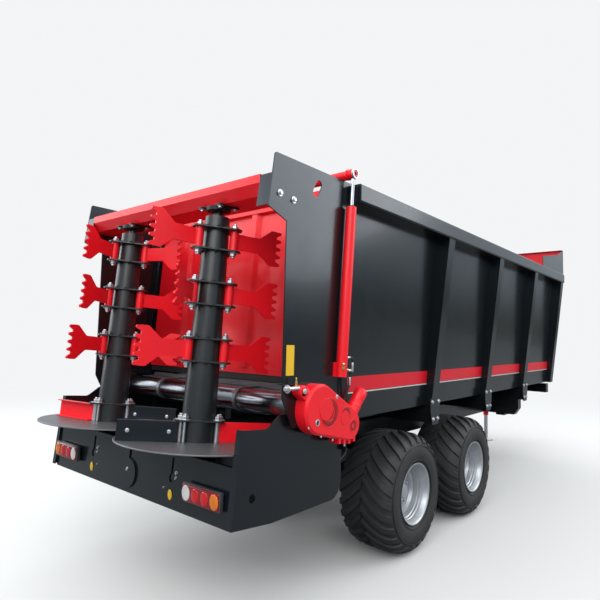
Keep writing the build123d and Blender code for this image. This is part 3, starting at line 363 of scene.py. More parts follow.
# %% Turning, joining and moving
def turned(profile, steps):
    """Spins a closed profile of (x, radius) pairs about the X axis."""
    shape = bmesh.new()
    corners = [shape.verts.new((x, 0, r)) for x, r in profile]
    edges = [shape.edges.new((corners[i], corners[(i + 1) % len(corners)])) for i in range(len(corners))]
    bmesh.ops.spin(shape, geom=corners + edges, cent=(0, 0, 0), axis=(1, 0, 0), angle=math.tau,
                   steps=steps, use_merge=True)
    bmesh.ops.recalc_face_normals(shape, faces=shape.faces)
    return shape

def put_together(target, part):
    """Adds one shape to another, which uses it up."""
    data = bpy.data.meshes.new("part")
    part.to_mesh(data)
    part.free()
    target.from_mesh(data)
    bpy.data.meshes.remove(data)

def shift(shape, by):
    bmesh.ops.translate(shape, vec=by, verts=shape.verts)

def swing(shape, matrix):
    bmesh.ops.rotate(shape, verts=shape.verts, cent=(0, 0, 0), matrix=matrix)

sides = ((1, "right"), (-1, "left"))

def to_side(hand, *shapes):
    """Mirrors what was made for the right when the hand is -1, for the left."""
    if hand < 0:
        for shape in shapes:
            bmesh.ops.scale(shape, vec=(-1, 1, 1), verts=shape.verts)
            bmesh.ops.reverse_faces(shape, faces=shape.faces)

# %% [markdown]
# The tyres are wide, low-pressure ones. The rubber bulges past the rim, and slanted lugs run from the
# middle of the tread, down over a round shoulder and onto the wall. One closed profile, spun, makes the
# carcass. One lug is a cube cut along its length and bent onto that profile, then copied round the wheel
# and mirrored half a step on.

# %% Carcass and one lug
tyre_low, tyre_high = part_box("tyre_right_rear")
tyre_radius = (tyre_high.z - tyre_low.z) / 2
tyre_half = (tyre_high.x - tyre_low.x) / 2
bead_radius = 0.2376
wall_curve = [(0.0, 0.4425), (0.07, 0.4420), (0.13, 0.4385), (0.175, 0.4290), (0.207, 0.4120),
              (0.226, 0.3880), (0.236, 0.3550), (0.239, 0.3200), (0.234, 0.2850), (0.223, 0.2560),
              (0.209, bead_radius)]

def along_wall(distance):
    """The point and outward direction on the carcass at a distance from its middle line."""
    for (x0, r0), (x1, r1) in zip(wall_curve, wall_curve[1:]):
        step = math.hypot(x1 - x0, r1 - r0)
        if distance <= step or (x1, r1) == wall_curve[-1]:
            share = distance / step
            facing = Vector((r0 - r1, x1 - x0)).normalized()
            return Vector((x0 + (x1 - x0) * share, r0 + (r1 - r0) * share)), facing
        distance -= step

def lug_shape(height, width, reach, slant):
    lug = bmesh.new()
    bmesh.ops.create_cube(lug, size=1)
    long_edges = [e for e in lug.edges if abs(e.verts[0].co.x - e.verts[1].co.x) > 0.5]
    bmesh.ops.subdivide_edges(lug, edges=long_edges, cuts=8, use_grid_fill=True)
    for vert in lug.verts:
        share = vert.co.x + 0.5
        lifted = vert.co.z > 0
        point, facing = along_wall(0.004 + share * reach)
        fade = 1.0 - 0.55 * max(0.0, share - 0.70) / 0.30
        out_by = height * fade if lifted else -0.006
        place = point + facing * out_by
        spread = vert.co.y * width * (0.86 if lifted else 1.12) * (1.0 + 0.35 * share)
        turn = -(share * reach * math.tan(slant) * (1 - 0.25 * share)) / tyre_radius + spread / 0.44
        vert.co = Vector((place.x, place.y * math.sin(turn), place.y * math.cos(turn)))
    return lug

print("tyre radius", round(tyre_radius, 3), "half width", round(tyre_half, 3))

# %% Tyres
lug_height, lug_width, lug_reach, lug_slant = 0.0236, 0.044, 0.235, math.radians(47)

def tyre_shape(pairs=26):
    back = [(-x, r) for x, r in reversed(wall_curve[1:])]
    tyre = turned(back + wall_curve, 104)
    lug = lug_shape(lug_height, lug_width, lug_reach, lug_slant)
    lug_mesh = bpy.data.meshes.new("lug")
    lug.to_mesh(lug_mesh)
    lug.free()
    for count in range(pairs):
        for hand in (1, -1):
            before = len(tyre.verts)
            tyre.from_mesh(lug_mesh)
            tyre.verts.ensure_lookup_table()
            fresh = tyre.verts[before:]
            turn = math.tau / pairs * (count + (0.5 if hand < 0 else 0))
            if hand < 0:
                bmesh.ops.scale(tyre, vec=(-1, 1, 1), verts=fresh)
                bmesh.ops.reverse_faces(tyre, faces=list({f for v in fresh for f in v.link_faces}))
            bmesh.ops.rotate(tyre, verts=fresh, cent=(0, 0, 0), matrix=Matrix.Rotation(turn, 3, "X"))
    bpy.data.meshes.remove(lug_mesh)
    return tyre

def wall_rings(tyre):
    """Two raised rings on the outer wall, as moulds leave them."""
    for radius, x in ((0.263, 0.2262), (0.375, 0.2300)):
        inner, outer = x + 0.004, x + 0.0075
        bead = [(inner, radius - 0.004), (outer, radius - 0.002), (outer, radius + 0.002),
                (inner, radius + 0.004)]
        put_together(tyre, turned(bead, 96))

wheel_spots = {}
for side in ("right", "left"):
    for end in ("rear", "front"):
        low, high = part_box(f"tyre_{side}_{end}")
        wheel_spots[side, end] = (low + high) / 2

def at_wheel(shape, side, end):
    to_side(-1 if side == "left" else 1, shape)
    shift(shape, wheel_spots[side, end])

for side, end in wheel_spots:
    tyre = tyre_shape()
    wall_rings(tyre)
    at_wheel(tyre, side, end)
    piece = make_piece(f"tread_tyre_{side}_{end}", tyre, tyre_rubber, f"wheel_{side}_{end}")
    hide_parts(f"tyre_{side}_{end}")

# %% [markdown]
# The rims are deep, stepped steel barrels painted silver. The disc that carries the hub sits far inside,
# with ten nuts on a circle and a cap over the bearing. All of these are bodies of revolution, so one spin
# each is enough.

# %% Rims
def hex_nut(across, height, place, axis_turn=None):
    nut = bmesh.new()
    bmesh.ops.create_cone(nut, cap_ends=True, segments=6, radius1=across / 2, radius2=across / 2,
                          depth=height)
    top_edges = [e for e in nut.edges if e.verts[0].co.z > 0 and e.verts[1].co.z > 0]
    bmesh.ops.bevel(nut, geom=top_edges, offset=height * 0.16, affect="EDGES", segments=1, profile=0.5,
                    material=-1)
    washer = bmesh.new()
    bmesh.ops.create_cone(washer, cap_ends=True, segments=16, radius1=across * 0.78, radius2=across * 0.78,
                          depth=height * 0.18)
    shift(washer, (0, 0, -height * 0.5))
    put_together(nut, washer)
    if axis_turn is not None:
        swing(nut, axis_turn)
    shift(nut, place)
    return nut

towards_right = Matrix.Rotation(math.radians(90), 3, "Y")
rim_profile = [(0.225, 0.2368), (0.215, 0.2368), (0.209, 0.2240), (0.170, 0.2215), (0.150, 0.2080),
               (0.100, 0.2010), (-0.130, 0.2010), (-0.165, 0.2215), (-0.209, 0.2240), (-0.215, 0.2368),
               (-0.225, 0.2368), (-0.225, 0.2300), (-0.213, 0.2170), (-0.165, 0.2145), (-0.132, 0.1940),
               (0.098, 0.1940), (0.118, 0.1950), (0.124, 0.1975), (0.136, 0.1978), (0.142, 0.2045),
               (0.158, 0.2060), (0.164, 0.2120), (0.186, 0.2140), (0.190, 0.2165), (0.213, 0.2185),
               (0.219, 0.2235), (0.225, 0.2300)]
dish_profile = [(0.098, 0.1945), (0.070, 0.1800), (0.066, 0.1550), (0.074, 0.1450), (0.080, 0.0900),
                (0.094, 0.0860), (0.094, 0.0010), (0.040, 0.0010), (0.040, 0.1500), (0.058, 0.1840),
                (0.084, 0.1945)]
cap_profile = [(0.092, 0.060), (0.118, 0.058), (0.128, 0.050), (0.132, 0.030), (0.133, 0.0008),
               (0.092, 0.0008)]
rim_nuts, nut_circle, nut_seat = 10, 0.118, 0.084
for side, end in wheel_spots:
    rim = bmesh.new()
    for profile in (rim_profile, dish_profile, cap_profile):
        put_together(rim, turned(profile, 72))
    for count in range(rim_nuts):
        turn = math.tau / rim_nuts * count
        place = (nut_seat, nut_circle * math.sin(turn), nut_circle * math.cos(turn))
        put_together(rim, hex_nut(0.026, 0.020, place, towards_right))
    at_wheel(rim, side, end)
    piece = make_piece(f"silver_rim_{side}_{end}", rim, rim_silver, f"wheel_{side}_{end}")
    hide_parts(f"rim_{side}_{end}")

# %% [markdown]
# Many small pieces sit at known places, so a few helpers come first. Places on the machine count from the
# rear axle, as on the drawing. The beaters lean back by 4.2 degrees, so what rides on them is made upright
# and then tipped with them.

# %% Places and simple forms
def spot(x, y, z):
    return Vector((x, axle_y + y, z))

bar_turns = {"X": Matrix.Rotation(math.radians(90), 3, "Y"), "Y": Matrix.Rotation(math.radians(-90), 3, "X"),
             "Z": Matrix.Identity(3)}

def round_bar(radius, length, centre=(0, 0, 0), axis="Z", steps=24, edge=0.0):
    bar = bmesh.new()
    bmesh.ops.create_cone(bar, cap_ends=True, segments=steps, radius1=radius, radius2=radius, depth=length)
    if edge:
        flat = [e for e in bar.edges if abs(e.verts[0].co.z - e.verts[1].co.z) < 1e-6]
        ends = [e for e in flat if abs(abs(e.verts[0].co.z) - length / 2) < 1e-6]
        bmesh.ops.bevel(bar, geom=ends, offset=edge, affect="EDGES", segments=2, profile=0.5, material=-1)
    swing(bar, bar_turns[axis])
    shift(bar, centre)
    return bar

def rounded_block(low, high, radius, segments=3):
    block = bmesh.new()
    bmesh.ops.create_cube(block, size=1)
    low, high = Vector(low), Vector(high)
    bmesh.ops.scale(block, vec=high - low, verts=block.verts)
    shift(block, (low + high) / 2)
    if radius:
        bmesh.ops.bevel(block, geom=block.edges[:], offset=radius, affect="EDGES", segments=segments,
                        profile=0.5, material=-1)
    return block

def tip_with(shape, matrix):
    bmesh.ops.transform(shape, matrix=matrix, verts=shape.verts)

lean_angle = math.radians(4.2)
lean = Matrix.Rotation(-lean_angle, 4, "X")
beater_frames = {}
for side in ("right", "left"):
    low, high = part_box("disc_" + side)
    foot = high.z - (high.x - low.x) / 2 * math.sin(lean_angle) - 0.004
    beater_frames[side] = Matrix.Translation(((low.x + high.x) / 2, (low.y + high.y) / 2, foot)) @ lean
print("beater foot", [round(v, 3) for v in beater_frames["right"].translation])

# %% [markdown]
# Three long bolts hold the paddles between each pair of flanges, and the blades between the disc and the
# first flange. Their zinc nuts are bright points all along the beaters. The bolts of the blades show as
# bare rods.

# %% Nuts and bolts of the beaters
upside_down = Matrix.Rotation(math.pi, 3, "X")
bolt_circle, stud_circle, studs_each = 0.125, 0.100, 9
bolt_turns, clip_turn = (265, 25, 145), 17
flange_heights = [0.545 + 0.345 * stage for stage in range(3)]
blade_middle, low_flange_top = 0.0635, 0.1460

def bolt_place(turn, height):
    turn = math.radians(turn)
    return Vector((bolt_circle * math.cos(turn), bolt_circle * math.sin(turn), height))

def nut_with_end(place, turned_over):
    end = 1 if turned_over is None else -1
    nut = hex_nut(0.042, 0.022, place, turned_over)
    put_together(nut, round_bar(0.011, 0.012, place + Vector((0, 0, end * 0.016)), steps=12, edge=0.002))
    return nut

for side in ("right", "left"):
    nuts = bmesh.new()
    for turn in bolt_turns:
        for middle in flange_heights:
            put_together(nuts, nut_with_end(bolt_place(turn, middle + 0.0870), None))
            put_together(nuts, nut_with_end(bolt_place(turn, middle - 0.0870), upside_down))
        put_together(nuts, nut_with_end(bolt_place(turn, low_flange_top), None))
        put_together(nuts, hex_nut(0.036, 0.016, bolt_place(turn, -0.0135), upside_down))
        put_together(nuts, round_bar(0.0152, 0.1165, bolt_place(turn, blade_middle), steps=20))
        put_together(nuts, nut_with_end(bolt_place(turn + clip_turn, low_flange_top), None))
        put_together(nuts, round_bar(0.0085, 0.1165, bolt_place(turn + clip_turn, blade_middle), steps=16))
    tip_with(nuts, beater_frames[side])
    make_piece("beater_nuts_" + side, nuts, zinc, "beater_unit_" + side)
    studs = bmesh.new()
    for middle in flange_heights:
        for end, over in ((1, None), (-1, upside_down)):
            for step in range(studs_each):
                angle = math.radians(5 + 360 / studs_each * step)
                place = (stud_circle * math.cos(angle), stud_circle * math.sin(angle), middle + end * 0.0795)
                put_together(studs, hex_nut(0.021, 0.009, place, over))
    tip_with(studs, beater_frames[side])
    make_piece("flange_studs_" + side, studs, cast_iron, "beater_unit_" + side)

# %% [markdown]
# Two of the blades carry a black wear plate, held by two bolts: the one that faces the camera on the right
# disc and the one that points inwards on the left disc.

# %% Wear plates on the blades
def on_blade(side, turn, aim):
    hinge = Matrix.Translation(bolt_place(turn, blade_middle))
    return beater_frames[side] @ hinge @ Matrix.Rotation(math.radians(aim), 4, "Z")

for side, turn, aim, back, front, half in (("right", 265, 235, 0.018, 0.036, 0.0590),
                                           ("left", 25, 40, -0.012, -0.0032, 0.0588)):
    plate = rounded_block((0.016, back, -half), (0.353, front, half), 0.0015, 1)
    put_together(plate, rounded_block((0.029, -0.0035, 0.0583), (0.353, 0.0350, 0.0606), 0))
    face = front if side == "right" else back
    out_by = 0.004 if side == "right" else -0.004
    heads = bmesh.new()
    for x in (0.062, 0.292):
        put_together(heads, round_bar(0.0125, 0.009, (x, face + out_by, 0), "Y", 20, 0.003))
    tip_with(plate, on_blade(side, turn, aim))
    tip_with(heads, on_blade(side, turn, aim))
    make_piece("wear_plate_" + side, plate, black_paint, "beater_unit_" + side)
    make_piece("wear_bolts_" + side, heads, zinc, "beater_unit_" + side)

# %% [markdown]
# The upper bearings hang under the hood beam in black housings with four bolts each. The drive roller of
# the floor is bare steel, polished by the chains, and ends in black flanged bearings.

# %% Bearings and roller
beater_reach = 1.435
beater_foot = beater_frames["right"].translation
bearing_x, bearing_y = beater_foot.x, beater_foot.y + beater_reach * math.sin(lean_angle)
bearing_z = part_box("hood_beam")[0].z
bearing_corners = ((-0.085, -0.062), (0.085, -0.062), (-0.085, 0.062), (0.085, 0.062))
housing_profile = [(-0.0016, 0.0430), (-0.0016, 0.0700), (0.0030, 0.0770), (0.0296, 0.0770), (0.0296, 0.0722),
                   (-0.0002, 0.0722), (-0.0002, 0.0430)]
towards_up = Matrix.Rotation(math.radians(-90), 3, "Y")
for hand, side in sides:
    housing = turned(housing_profile, 48)
    swing(housing, towards_up)
    bmesh.ops.recalc_face_normals(housing, faces=housing.faces)
    for x, y in bearing_corners:
        foot = rounded_block((x - 0.022, y - 0.020, 0.0175), (x + 0.022, y + 0.020, 0.0296), 0.003, 2)
        put_together(housing, foot)
        arm = rounded_block((min(x, 0), -0.03 + y * 0.5, 0.0185), (max(x, 0), 0.03 + y * 0.5, 0.0296),
                            0.003, 2)
        put_together(housing, arm)
    bolts = bmesh.new()
    for x, y in bearing_corners:
        put_together(bolts, hex_nut(0.026, 0.012, Vector((x, y, 0.0095)), upside_down))
    place = Vector((hand * bearing_x, bearing_y, bearing_z))
    shift(housing, place)
    shift(bolts, place)
    make_piece("top_bearing_" + side, housing, cast_iron, "spreader")
    make_piece("top_bearing_bolts_" + side, bolts, zinc, "spreader")

scraper_low, drum_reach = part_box("scraper")[0], 0.0936
drum = Vector((0, scraper_low.y + drum_reach, scraper_low.z + drum_reach))
steel = bmesh.new()
for start, stop in ((-0.952, -0.446), (-0.414, 0.414), (0.446, 0.952)):
    middle = drum + Vector(((start + stop) / 2, 0, 0))
    put_together(steel, round_bar(0.0729, stop - start, middle, "X", 64, 0.002))
make_piece("roller_steel", steel, bright_steel, "spreader")
ends = bmesh.new()
end_profile = [(0.940, 0.0735), (0.940, 0.0860), (0.9505, 0.0960), (0.9835, 0.0960), (0.9835, 0.0735)]
for hand in (1, -1):
    ring = turned(end_profile, 48)
    to_side(hand, ring)
    shift(ring, drum)
    put_together(ends, ring)
make_piece("roller_ends", ends, cast_iron, "spreader")

# %% [markdown]
# The gearbox of the floor drive is a red casting. Its rear corner has an ear with a clamp bolt and a brass
# breather, its face a sight glass and screws, and a collar rounds the neck of the motor.

# %% Gearbox details
box_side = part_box("side_gearbox")[1].x
face_x = box_side - 0.0026
glass_y, glass_z = -1.393, 1.184
main_boss, upper_boss, front_boss = (-1.277, 1.232), (-1.105, 1.205), (-1.023, 1.128)
glass = finish_recipe("sight_glass", (0.010, 0.010, 0.012), (0.020, 0.020, 0.022), 0.08, 0.02, coat=1.0,
                      grain=40, edge=0)
ear = round_bar(0.034, 0.066, spot(face_x - 0.047, -1.508, 1.372), "X", 32, 0.006)
web = rounded_block((-0.033, -0.085, -0.034), (0.033, 0.085, 0.034), 0.006, 2)
swing(web, Matrix.Rotation(math.radians(-37), 3, "X"))
shift(web, spot(face_x - 0.047, -1.445, 1.325))
put_together(ear, web)
motor_turn = Matrix.Rotation(math.radians(-42), 4, "X")
motor_place = Matrix.Translation(spot(box_side - 0.0445, -1.000, 1.190))
collar = round_bar(0.0438, 0.078, (0, 0, 0.150), "Z", 40, 0.004)
put_together(collar, round_bar(0.0438, 0.016, (0, 0, 0.066), "Z", 40, 0.003))
tip_with(collar, motor_place @ motor_turn)
put_together(ear, collar)
for (y, z), r, deep in ((main_boss, 0.088, 0.0016), (upper_boss, 0.050, 0.0012), (front_boss, 0.040, 0.0018)):
    ring = turned([(0, r - 0.006), (deep, r - 0.004), (deep, r), (0, r + 0.002)], 48)
    shift(ring, spot(face_x + 0.0004, y, z))
    put_together(ear, ring)
make_piece("gearbox_castings", ear, red_paint, "spreader")
# The darker red rings laid on the bosses are painted shade that suggests the relief of the casting; their
# bump is a casting's skin.
painted_shade_red = finish_recipe("painted_shade_red", (0.34, 0.003, 0.006), (0.26, 0.002, 0.005), 0.34, coat=0.1,
                         grain=30, peel=120, peel_depth=0.0012, edge=0, gloss=0.35)
bosses = bmesh.new()
for (y, z), outer, inner, deep in ((main_boss, 0.082, 0.050, 0.0008), (main_boss, 0.042, 0.016, 0.0014),
                                   (upper_boss, 0.046, 0.020, 0.0008), (front_boss, 0.036, 0.012, 0.0012)):
    ring = turned([(0, inner), (deep, inner + 0.002), (deep, outer - 0.002), (0, outer)], 40)
    shift(ring, spot(face_x + 0.0004, y, z))
    put_together(bosses, ring)
make_piece("gearbox_bosses", bosses, painted_shade_red, "spreader")
studs = bmesh.new()
for y, z, r in ((-1.508, 1.372, 0.016), (-1.205, 1.319, 0.014), (-1.346, 1.098, 0.008),
                (-1.462, 1.160, 0.008), (-1.230, 1.062, 0.008), (-1.104, 1.014, 0.008),
                (-0.975, 1.220, 0.008)):
    depth = 0.010 if r > 0.010 else 0.006
    back = 0.012 if abs(y + 1.508) < 0.01 else 0.0080 if r > 0.010 else 0.0125
    put_together(studs, round_bar(r, depth, spot(face_x - back + depth / 2, y, z), "X", 20, r * 0.25))
put_together(studs, round_bar(0.0115, 0.100, spot(face_x - 0.030, -1.588, 1.391), "Y", 20))
towards_back = Matrix.Rotation(math.radians(90), 3, "X")
put_together(studs, hex_nut(0.030, 0.022, spot(face_x - 0.030, -1.645, 1.391), towards_back))
glass_ring = turned([(0, 0.0125), (0.0022, 0.0135), (0.0022, 0.0185), (0, 0.0200)], 32)
shift(glass_ring, spot(face_x + 0.0002, glass_y, glass_z))
put_together(studs, glass_ring)
make_piece("gearbox_studs", studs, zinc, "spreader")
pane = round_bar(0.0128, 0.0024, spot(face_x + 0.0004, glass_y, glass_z), "X", 24)
make_piece("gearbox_glass", pane, glass, "spreader")
breather = round_bar(0.0085, 0.030, spot(face_x - 0.047, -1.540, 1.412), "Z", 6)
put_together(breather, round_bar(0.0055, 0.026, spot(face_x - 0.047, -1.540, 1.436), "Z", 12, 0.002))
make_piece("gearbox_breather", breather, brass, "spreader")

# %% [markdown]
# The lifting cylinders have a dark wiper ring at the rod, a thin pipe down the barrel and a brass fitting
# at the foot, where two short hoses start and run down behind the gearbox. Each hose is a smooth curve
# through listed points.

# %% Cylinders, eyes and hoses
def tube_along(name, points, radius, material, body):
    curve = bpy.data.curves.new(name, "CURVE")
    curve.dimensions = "3D"
    route = curve.splines.new("NURBS")
    route.points.add(len(points) - 1)
    for point, place in zip(route.points, points):
        point.co = (*place, 1)
    route.order_u = 3
    route.use_endpoint_u = True
    curve.resolution_u = 8
    curve.bevel_depth = radius
    curve.bevel_resolution = 3
    curve.use_fill_caps = True
    holder = bpy.data.objects.new(name + "_route", curve)
    data = bpy.data.meshes.new_from_object(holder)
    bpy.data.objects.remove(holder)
    shape = bmesh.new()
    shape.from_mesh(data)
    bpy.data.meshes.remove(data)
    bpy.data.curves.remove(curve)
    return make_piece(name, shape, material, body)

line_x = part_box("gate_cylinders")[1].x - 0.035
eye_y, eye_z = -1.012, 2.772
for hand, side in sides:
    line = Matrix.Translation(spot(hand * line_x, eye_y, eye_z)) @ lean
    wiper = round_bar(0.0240, 0.012, (0, 0, -0.2270), "Z", 32, 0.002)
    tip_with(wiper, line)
    make_piece("wiper_ring_" + side, wiper, hose_rubber, "spreader")
    pipe_x, pipe_y = hand * 0.006, 0.0405
    path = [(0, 0.030, -0.262), (pipe_x, pipe_y + 0.004, -0.262), (pipe_x, pipe_y, -0.300),
            (pipe_x, pipe_y, -0.750), (pipe_x, pipe_y, -1.190), (pipe_x, pipe_y + 0.004, -1.215)]
    route = [line @ Vector(p) for p in path]
    tube_along("pipe_" + side, route, 0.0055, red_paint, "spreader")
    fitting = bmesh.new()
    bmesh.ops.create_uvsphere(fitting, u_segments=20, v_segments=12, radius=0.0115)
    shift(fitting, line @ Vector((hand * 0.0265, -0.022, -1.262)))
    put_together(fitting, round_bar(0.0110, 0.018, line @ Vector((hand * 0.0265, -0.022, -1.285)), "Z", 6))
    put_together(fitting, round_bar(0.0130, 0.020, line @ Vector((0, 0.040, -1.295)), "Y", 6))
    put_together(fitting, round_bar(0.0095, 0.022, line @ Vector((0, 0.060, -1.295)), "Y", 20, 0.002))
    make_piece("foot_fitting_" + side, fitting, brass, "spreader")
    ferrules = bmesh.new()
    for radius, length, place, axis in ((0.0085, 0.034, (hand * 0.004, 0.083, -1.297), "Y"),
                                        (0.0085, 0.034, (hand * 0.005, 0.062, -1.215), "Y"),
                                        (0.0090, 0.060, (hand * 0.003, 0.1140, -1.275), "Z"),
                                        (0.0080, 0.050, (hand * 0.001, 0.0960, -1.365), "Z")):
        put_together(ferrules, round_bar(radius, length, line @ Vector(place), axis, 20, 0.002))
    make_piece("hose_ferrules_" + side, ferrules, zinc, "spreader")
    upper_hose = [(hand * 0.005, 0.046, -1.215), (hand * 0.005, 0.118, -1.205), (hand * 0.004, 0.118, -1.290),
                  (-hand * 0.02, 0.108, -1.440), (-hand * 0.045, 0.100, -1.570)]
    lower_hose = [(hand * 0.004, 0.068, -1.297), (hand * 0.004, 0.104, -1.297), (0, 0.094, -1.390),
                  (-hand * 0.02, 0.080, -1.480), (-hand * 0.045, 0.085, -1.570)]
    for place, path in (("upper", upper_hose), ("lower", lower_hose)):
        route = [line @ Vector(p) for p in path]
        tube_along(f"hose_{place}_{side}", route, 0.0065, hose_rubber, "spreader")
    eye_face = hand * (line_x + 0.015)
    eye_profile = [(-0.004, 0.0250), (0.0060, 0.0260), (0.0060, 0.0340), (0.0030, 0.0374), (-0.006, 0.0374)]
    eye_ring = turned(eye_profile, 48)
    cheek = bmesh.new()
    put_together(cheek, round_bar(0.0374, 0.012, (-0.055, 0, 0), "X", 40, 0.003))
    put_together(cheek, round_bar(0.0255, 0.004, (0.001, 0, 0), "X", 40, 0.001))
    pin = round_bar(0.0105, 0.007, (0.0025, 0, 0), "X", 24, 0.002)
    for name, shape, material, slot in (("eye_ring_", eye_ring, zinc, "galvanised"),
                                        ("eye_cheek_", cheek, red_paint, "red_paint"),
                                        ("eye_pin_", pin, cast_iron, "cast")):
        to_side(hand, shape)
        shift(shape, spot(eye_face, eye_y, eye_z))
        make_piece(name + side, shape, material, "gate_unit")

# %% [markdown]
# A red lip closes the gate at the top, behind the crossbar, and goes up with it.

# %% Top lip of the gate
gate_front, gate_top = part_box("gate")[1].yz
lip_half, lip_top = 0.930, gate_top + 0.050
lip = rounded_block((-lip_half, gate_front - 0.0460, gate_top - 0.030),
                    (lip_half, gate_front - 0.0385, lip_top), 0.002, 1)
fold = rounded_block((-lip_half, gate_front - 0.0450, gate_top + 0.043),
                     (lip_half, gate_front - 0.0360, lip_top), 0)
put_together(lip, fold)
make_piece("gate_lip", lip, red_paint, "gate_unit")

# %% [markdown]
# Painted and stuck-on trim: a red band with a thin white line under it along the lower side walls, between
# the posts, and a blank yellow plate on the upper side plate. The band's lettering and the pictures on the
# walls are left off on purpose.

# %% Stripes, plate and seams
wall_foot_x, wall_foot_z, flare = 0.880, 1.105, 0.105 / 1.480

def wall_strip(y_from, y_to, z_from, z_to, proud):
    strip = rounded_block((0, y_from, z_from), (0.0004, y_to, z_to), 0)
    for vert in strip.verts:
        vert.co.x += wall_foot_x + (vert.co.z - wall_foot_z) * flare + proud
    shift(strip, (0, axle_y, 0))
    return strip

red_band = finish_recipe("red_band", (0.66, 0.010, 0.022), (0.62, 0.009, 0.020), 0.34, grain=3, edge=0,
                         gloss=0.3)
white_band = finish_recipe("white_band", (0.62, 0.62, 0.60), (0.52, 0.52, 0.50), 0.35, grain=9, edge=0)
yellow_sheet = finish_recipe("yellow_sheet", (0.80, 0.50, 0.012), (0.70, 0.42, 0.010), 0.35, grain=12, edge=0)
bays = ((-0.974, 0.468), (0.594, 1.789), (1.915, 3.110), (3.236, 4.431))
for hand, side in sides:
    for part, material, z_from, z_to in (("red", red_band, 1.300, 1.408),
                                         ("white", white_band, 1.288, 1.297)):
        band = bmesh.new()
        for y_from, y_to in bays:
            put_together(band, wall_strip(y_from, y_to, z_from, z_to, 0.0006))
        to_side(hand, band)
        make_piece(f"band_{part}_{side}", band, material, "spreader", False)
    sheet = rounded_block(spot(1.0352, -1.588, 1.458), spot(1.0362, -1.520, 1.632), 0)
    to_side(hand, sheet)
    make_piece("blank_plate_" + side, sheet, yellow_sheet, "spreader", False)
    seams = bmesh.new()
    for y in (0.471, 1.792, 3.113, 4.434):
        put_together(seams, rounded_block(spot(1.1222, y, 2.590), spot(1.12298, y + 0.008, 2.700), 0))
        put_together(seams, rounded_block(spot(0.990, y, 2.7098), spot(1.112, y + 0.008, 2.7104), 0))
    to_side(hand, seams)
    make_piece("rail_seams_" + side, seams, hose_rubber, "spreader", False)

# %% [markdown]
# Bolts hold the hood to the side plates, the posts' feet to the cross beams and the covers to the rear
# panel.

# %% Bolts of the body
panel_rear, panel_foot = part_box("rear_lamps")[1].y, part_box("rear_panel")[0].z
panel_lean = 0.09

def panel_face(height):
    return panel_rear + (height - panel_foot) * panel_lean

for hand, side in sides:
    heads = bmesh.new()
    for y, z in ((-1.680, 2.493), (-1.561, 2.478)):
        put_together(heads, round_bar(0.0200, 0.004, spot(1.0368, y, z), "X", 24, 0.001))
        put_together(heads, hex_nut(0.026, 0.014, spot(1.0460, y, z), towards_right))
    for post in (0.531, 1.852, 3.173):
        for dy, z in ((-0.062, 1.136), (0.062, 1.136), (-0.044, 0.985), (0.044, 0.985)):
            put_together(heads, hex_nut(0.024, 0.012, spot(0.9585, post + dy, z), towards_right))
    to_side(hand, heads)
    make_piece("body_bolts_" + side, heads, zinc, "spreader")

screws = bmesh.new()
for x, z, across in ((-0.405, 0.880, 0.018), (0.489, 0.873, 0.018), (-0.405, 0.852, 0.014),
                     (0.489, 0.846, 0.014), (0.385, 0.775, 0.010), (-0.385, 0.775, 0.010),
                     (0.0, 0.812, 0.020)):
    y = panel_face(z) - (0.0030 if x else 0.0145)
    put_together(screws, hex_nut(across, 0.008, Vector((x, y, z)), towards_back))
make_piece("panel_screws", screws, zinc, "spreader")
backing = bmesh.new()
for x in (-0.451, 0.451):
    strip = rounded_block((x - 0.034, panel_rear + 0.0068, 0.790), (x + 0.034, panel_rear + 0.0090, 0.960), 0)
    for vert in strip.verts:
        vert.co.y += (vert.co.z - panel_foot) * panel_lean
    put_together(backing, strip)
make_piece("slot_backing", backing, black_paint, "spreader", False)

# %% [markdown]
# Each tail lamp is one red body in a dark frame, with four round lenses moulded into it: white nearest the
# middle, two red ones and amber at the outer end. Small oval reflectors sit beside them on the panel.

# %% Lamp materials
def lens_plastic(name, colour, drift):
    made = finish_recipe(name, colour, drift, 0.14, 0.03, coat=0.35, grain=60, peel=220, peel_depth=0.0008,
                         edge=0, gloss=0.35)
    shader = made.node_tree.nodes["Principled BSDF"]
    # Each lens glows faintly in its own colour: a painted glow, as the tail lamps hold no light source.
    shader.inputs["Emission Color"].default_value = (*colour, 1)
    shader.inputs["Emission Strength"].default_value = 0.04
    return made

clear_lens = lens_plastic("clear_lens", (0.72, 0.70, 0.68), (0.50, 0.48, 0.46))
red_lens = lens_plastic("red_lens", (0.26, 0.004, 0.008), (0.15, 0.002, 0.005))
bright_red_lens = lens_plastic("bright_red_lens", (0.62, 0.006, 0.010), (0.36, 0.004, 0.007))
amber_lens = lens_plastic("amber_lens", (0.72, 0.20, 0.008), (0.42, 0.09, 0.004))
lamp_frame = finish_recipe("lamp_frame", (0.050, 0.050, 0.056), (0.035, 0.035, 0.040), 0.35, coat=0.2,
                           grain=20)
print("lenses:", clear_lens.name, red_lens.name, bright_red_lens.name, amber_lens.name)

# %% Lamps and reflectors
lamps_low, lamps_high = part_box("rear_lamps")
lamp_width, lens_radius, lens_bulge = 0.315, 0.0340, 0.0080
lenses = (("clear", clear_lens), ("red_inner", bright_red_lens), ("red_outer", bright_red_lens),
          ("amber", amber_lens))
marker_x, marker_z = 0.452, 0.748

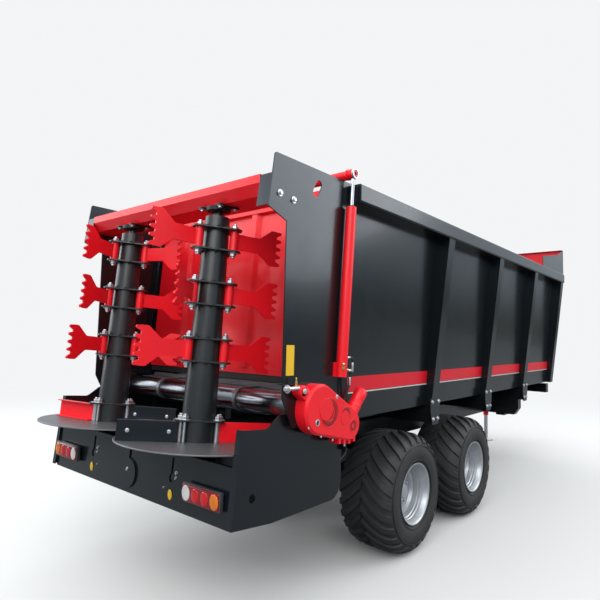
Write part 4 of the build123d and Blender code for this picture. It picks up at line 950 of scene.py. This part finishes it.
def lens_dome(centre, radius, depth):
    dome = bmesh.new()
    bmesh.ops.create_uvsphere(dome, u_segments=32, v_segments=16, radius=1)
    bmesh.ops.bisect_plane(dome, geom=dome.verts[:] + dome.edges[:] + dome.faces[:], plane_co=(0, 0, 0),
                           plane_no=(0, 1, 0), clear_outer=True)
    bmesh.ops.scale(dome, vec=(radius, depth, radius * 1.24), verts=dome.verts)
    rim = [e for e in dome.edges if e.is_boundary]
    bmesh.ops.edgeloop_fill(dome, edges=rim)
    bmesh.ops.recalc_face_normals(dome, faces=dome.faces)
    shift(dome, centre)
    return dome

for hand, side in sides:
    inner = lamps_high.x - lamp_width
    holder = rounded_block((inner, lamps_low.y + 0.016, lamps_low.z), lamps_high, 0.005, 2)
    body = rounded_block((inner + 0.006, lamps_low.y + 0.0085, lamps_low.z + 0.006),
                         (lamps_high.x - 0.006, lamps_low.y + 0.024, lamps_high.z - 0.006), 0.006, 3)
    mount = rounded_block((inner + 0.030, lamps_high.y - 0.002, lamps_low.z + 0.014),
                          (lamps_high.x - 0.030, panel_face(lamps_high.z) + 0.001, lamps_high.z - 0.014),
                          0.003, 1)
    for part, shape, material in (("frame", holder, lamp_frame), ("body", body, red_lens),
                                  ("mount", mount, black_paint)):
        to_side(hand, shape)
        piece = make_piece(f"lamp_{part}_{side}", shape, material, "spreader")
        if hand > 0 and part == "frame":
            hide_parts("rear_lamps")
    for number, (part, material) in enumerate(lenses):
        middle = inner + 0.006 + lens_radius + number * (lamp_width - 0.012 - 2 * lens_radius) / 3
        centre = Vector((middle, lamps_low.y + 0.0090, (lamps_low.z + lamps_high.z) / 2))
        lens = lens_dome(centre, lens_radius - (0.0 if part in ("clear", "amber") else 0.003), lens_bulge)
        to_side(hand, lens)
        make_piece(f"lens_{part}_{side}", lens, material, "spreader")
    marker = lens_dome((marker_x, panel_face(marker_z) - 0.0015, marker_z), 0.0190, 0.0070)
    bmesh.ops.scale(marker, vec=(1, 1, 1.30), space=Matrix.Translation((0, 0, -marker_z)), verts=marker.verts)
    to_side(hand, marker)
    make_piece("reflector_" + side, marker, yellow_sheet, "spreader")

# %% [markdown]
# Last, the box of the visual model is set against the CAD box, and how far it reaches past it on each side
# is printed.

# %% Sizes and finish
low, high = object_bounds()
grown = [round(a - b, 4) for a, b in zip((*high, *cad_low), (*cad_high, *low))]
print("grown by", grown)
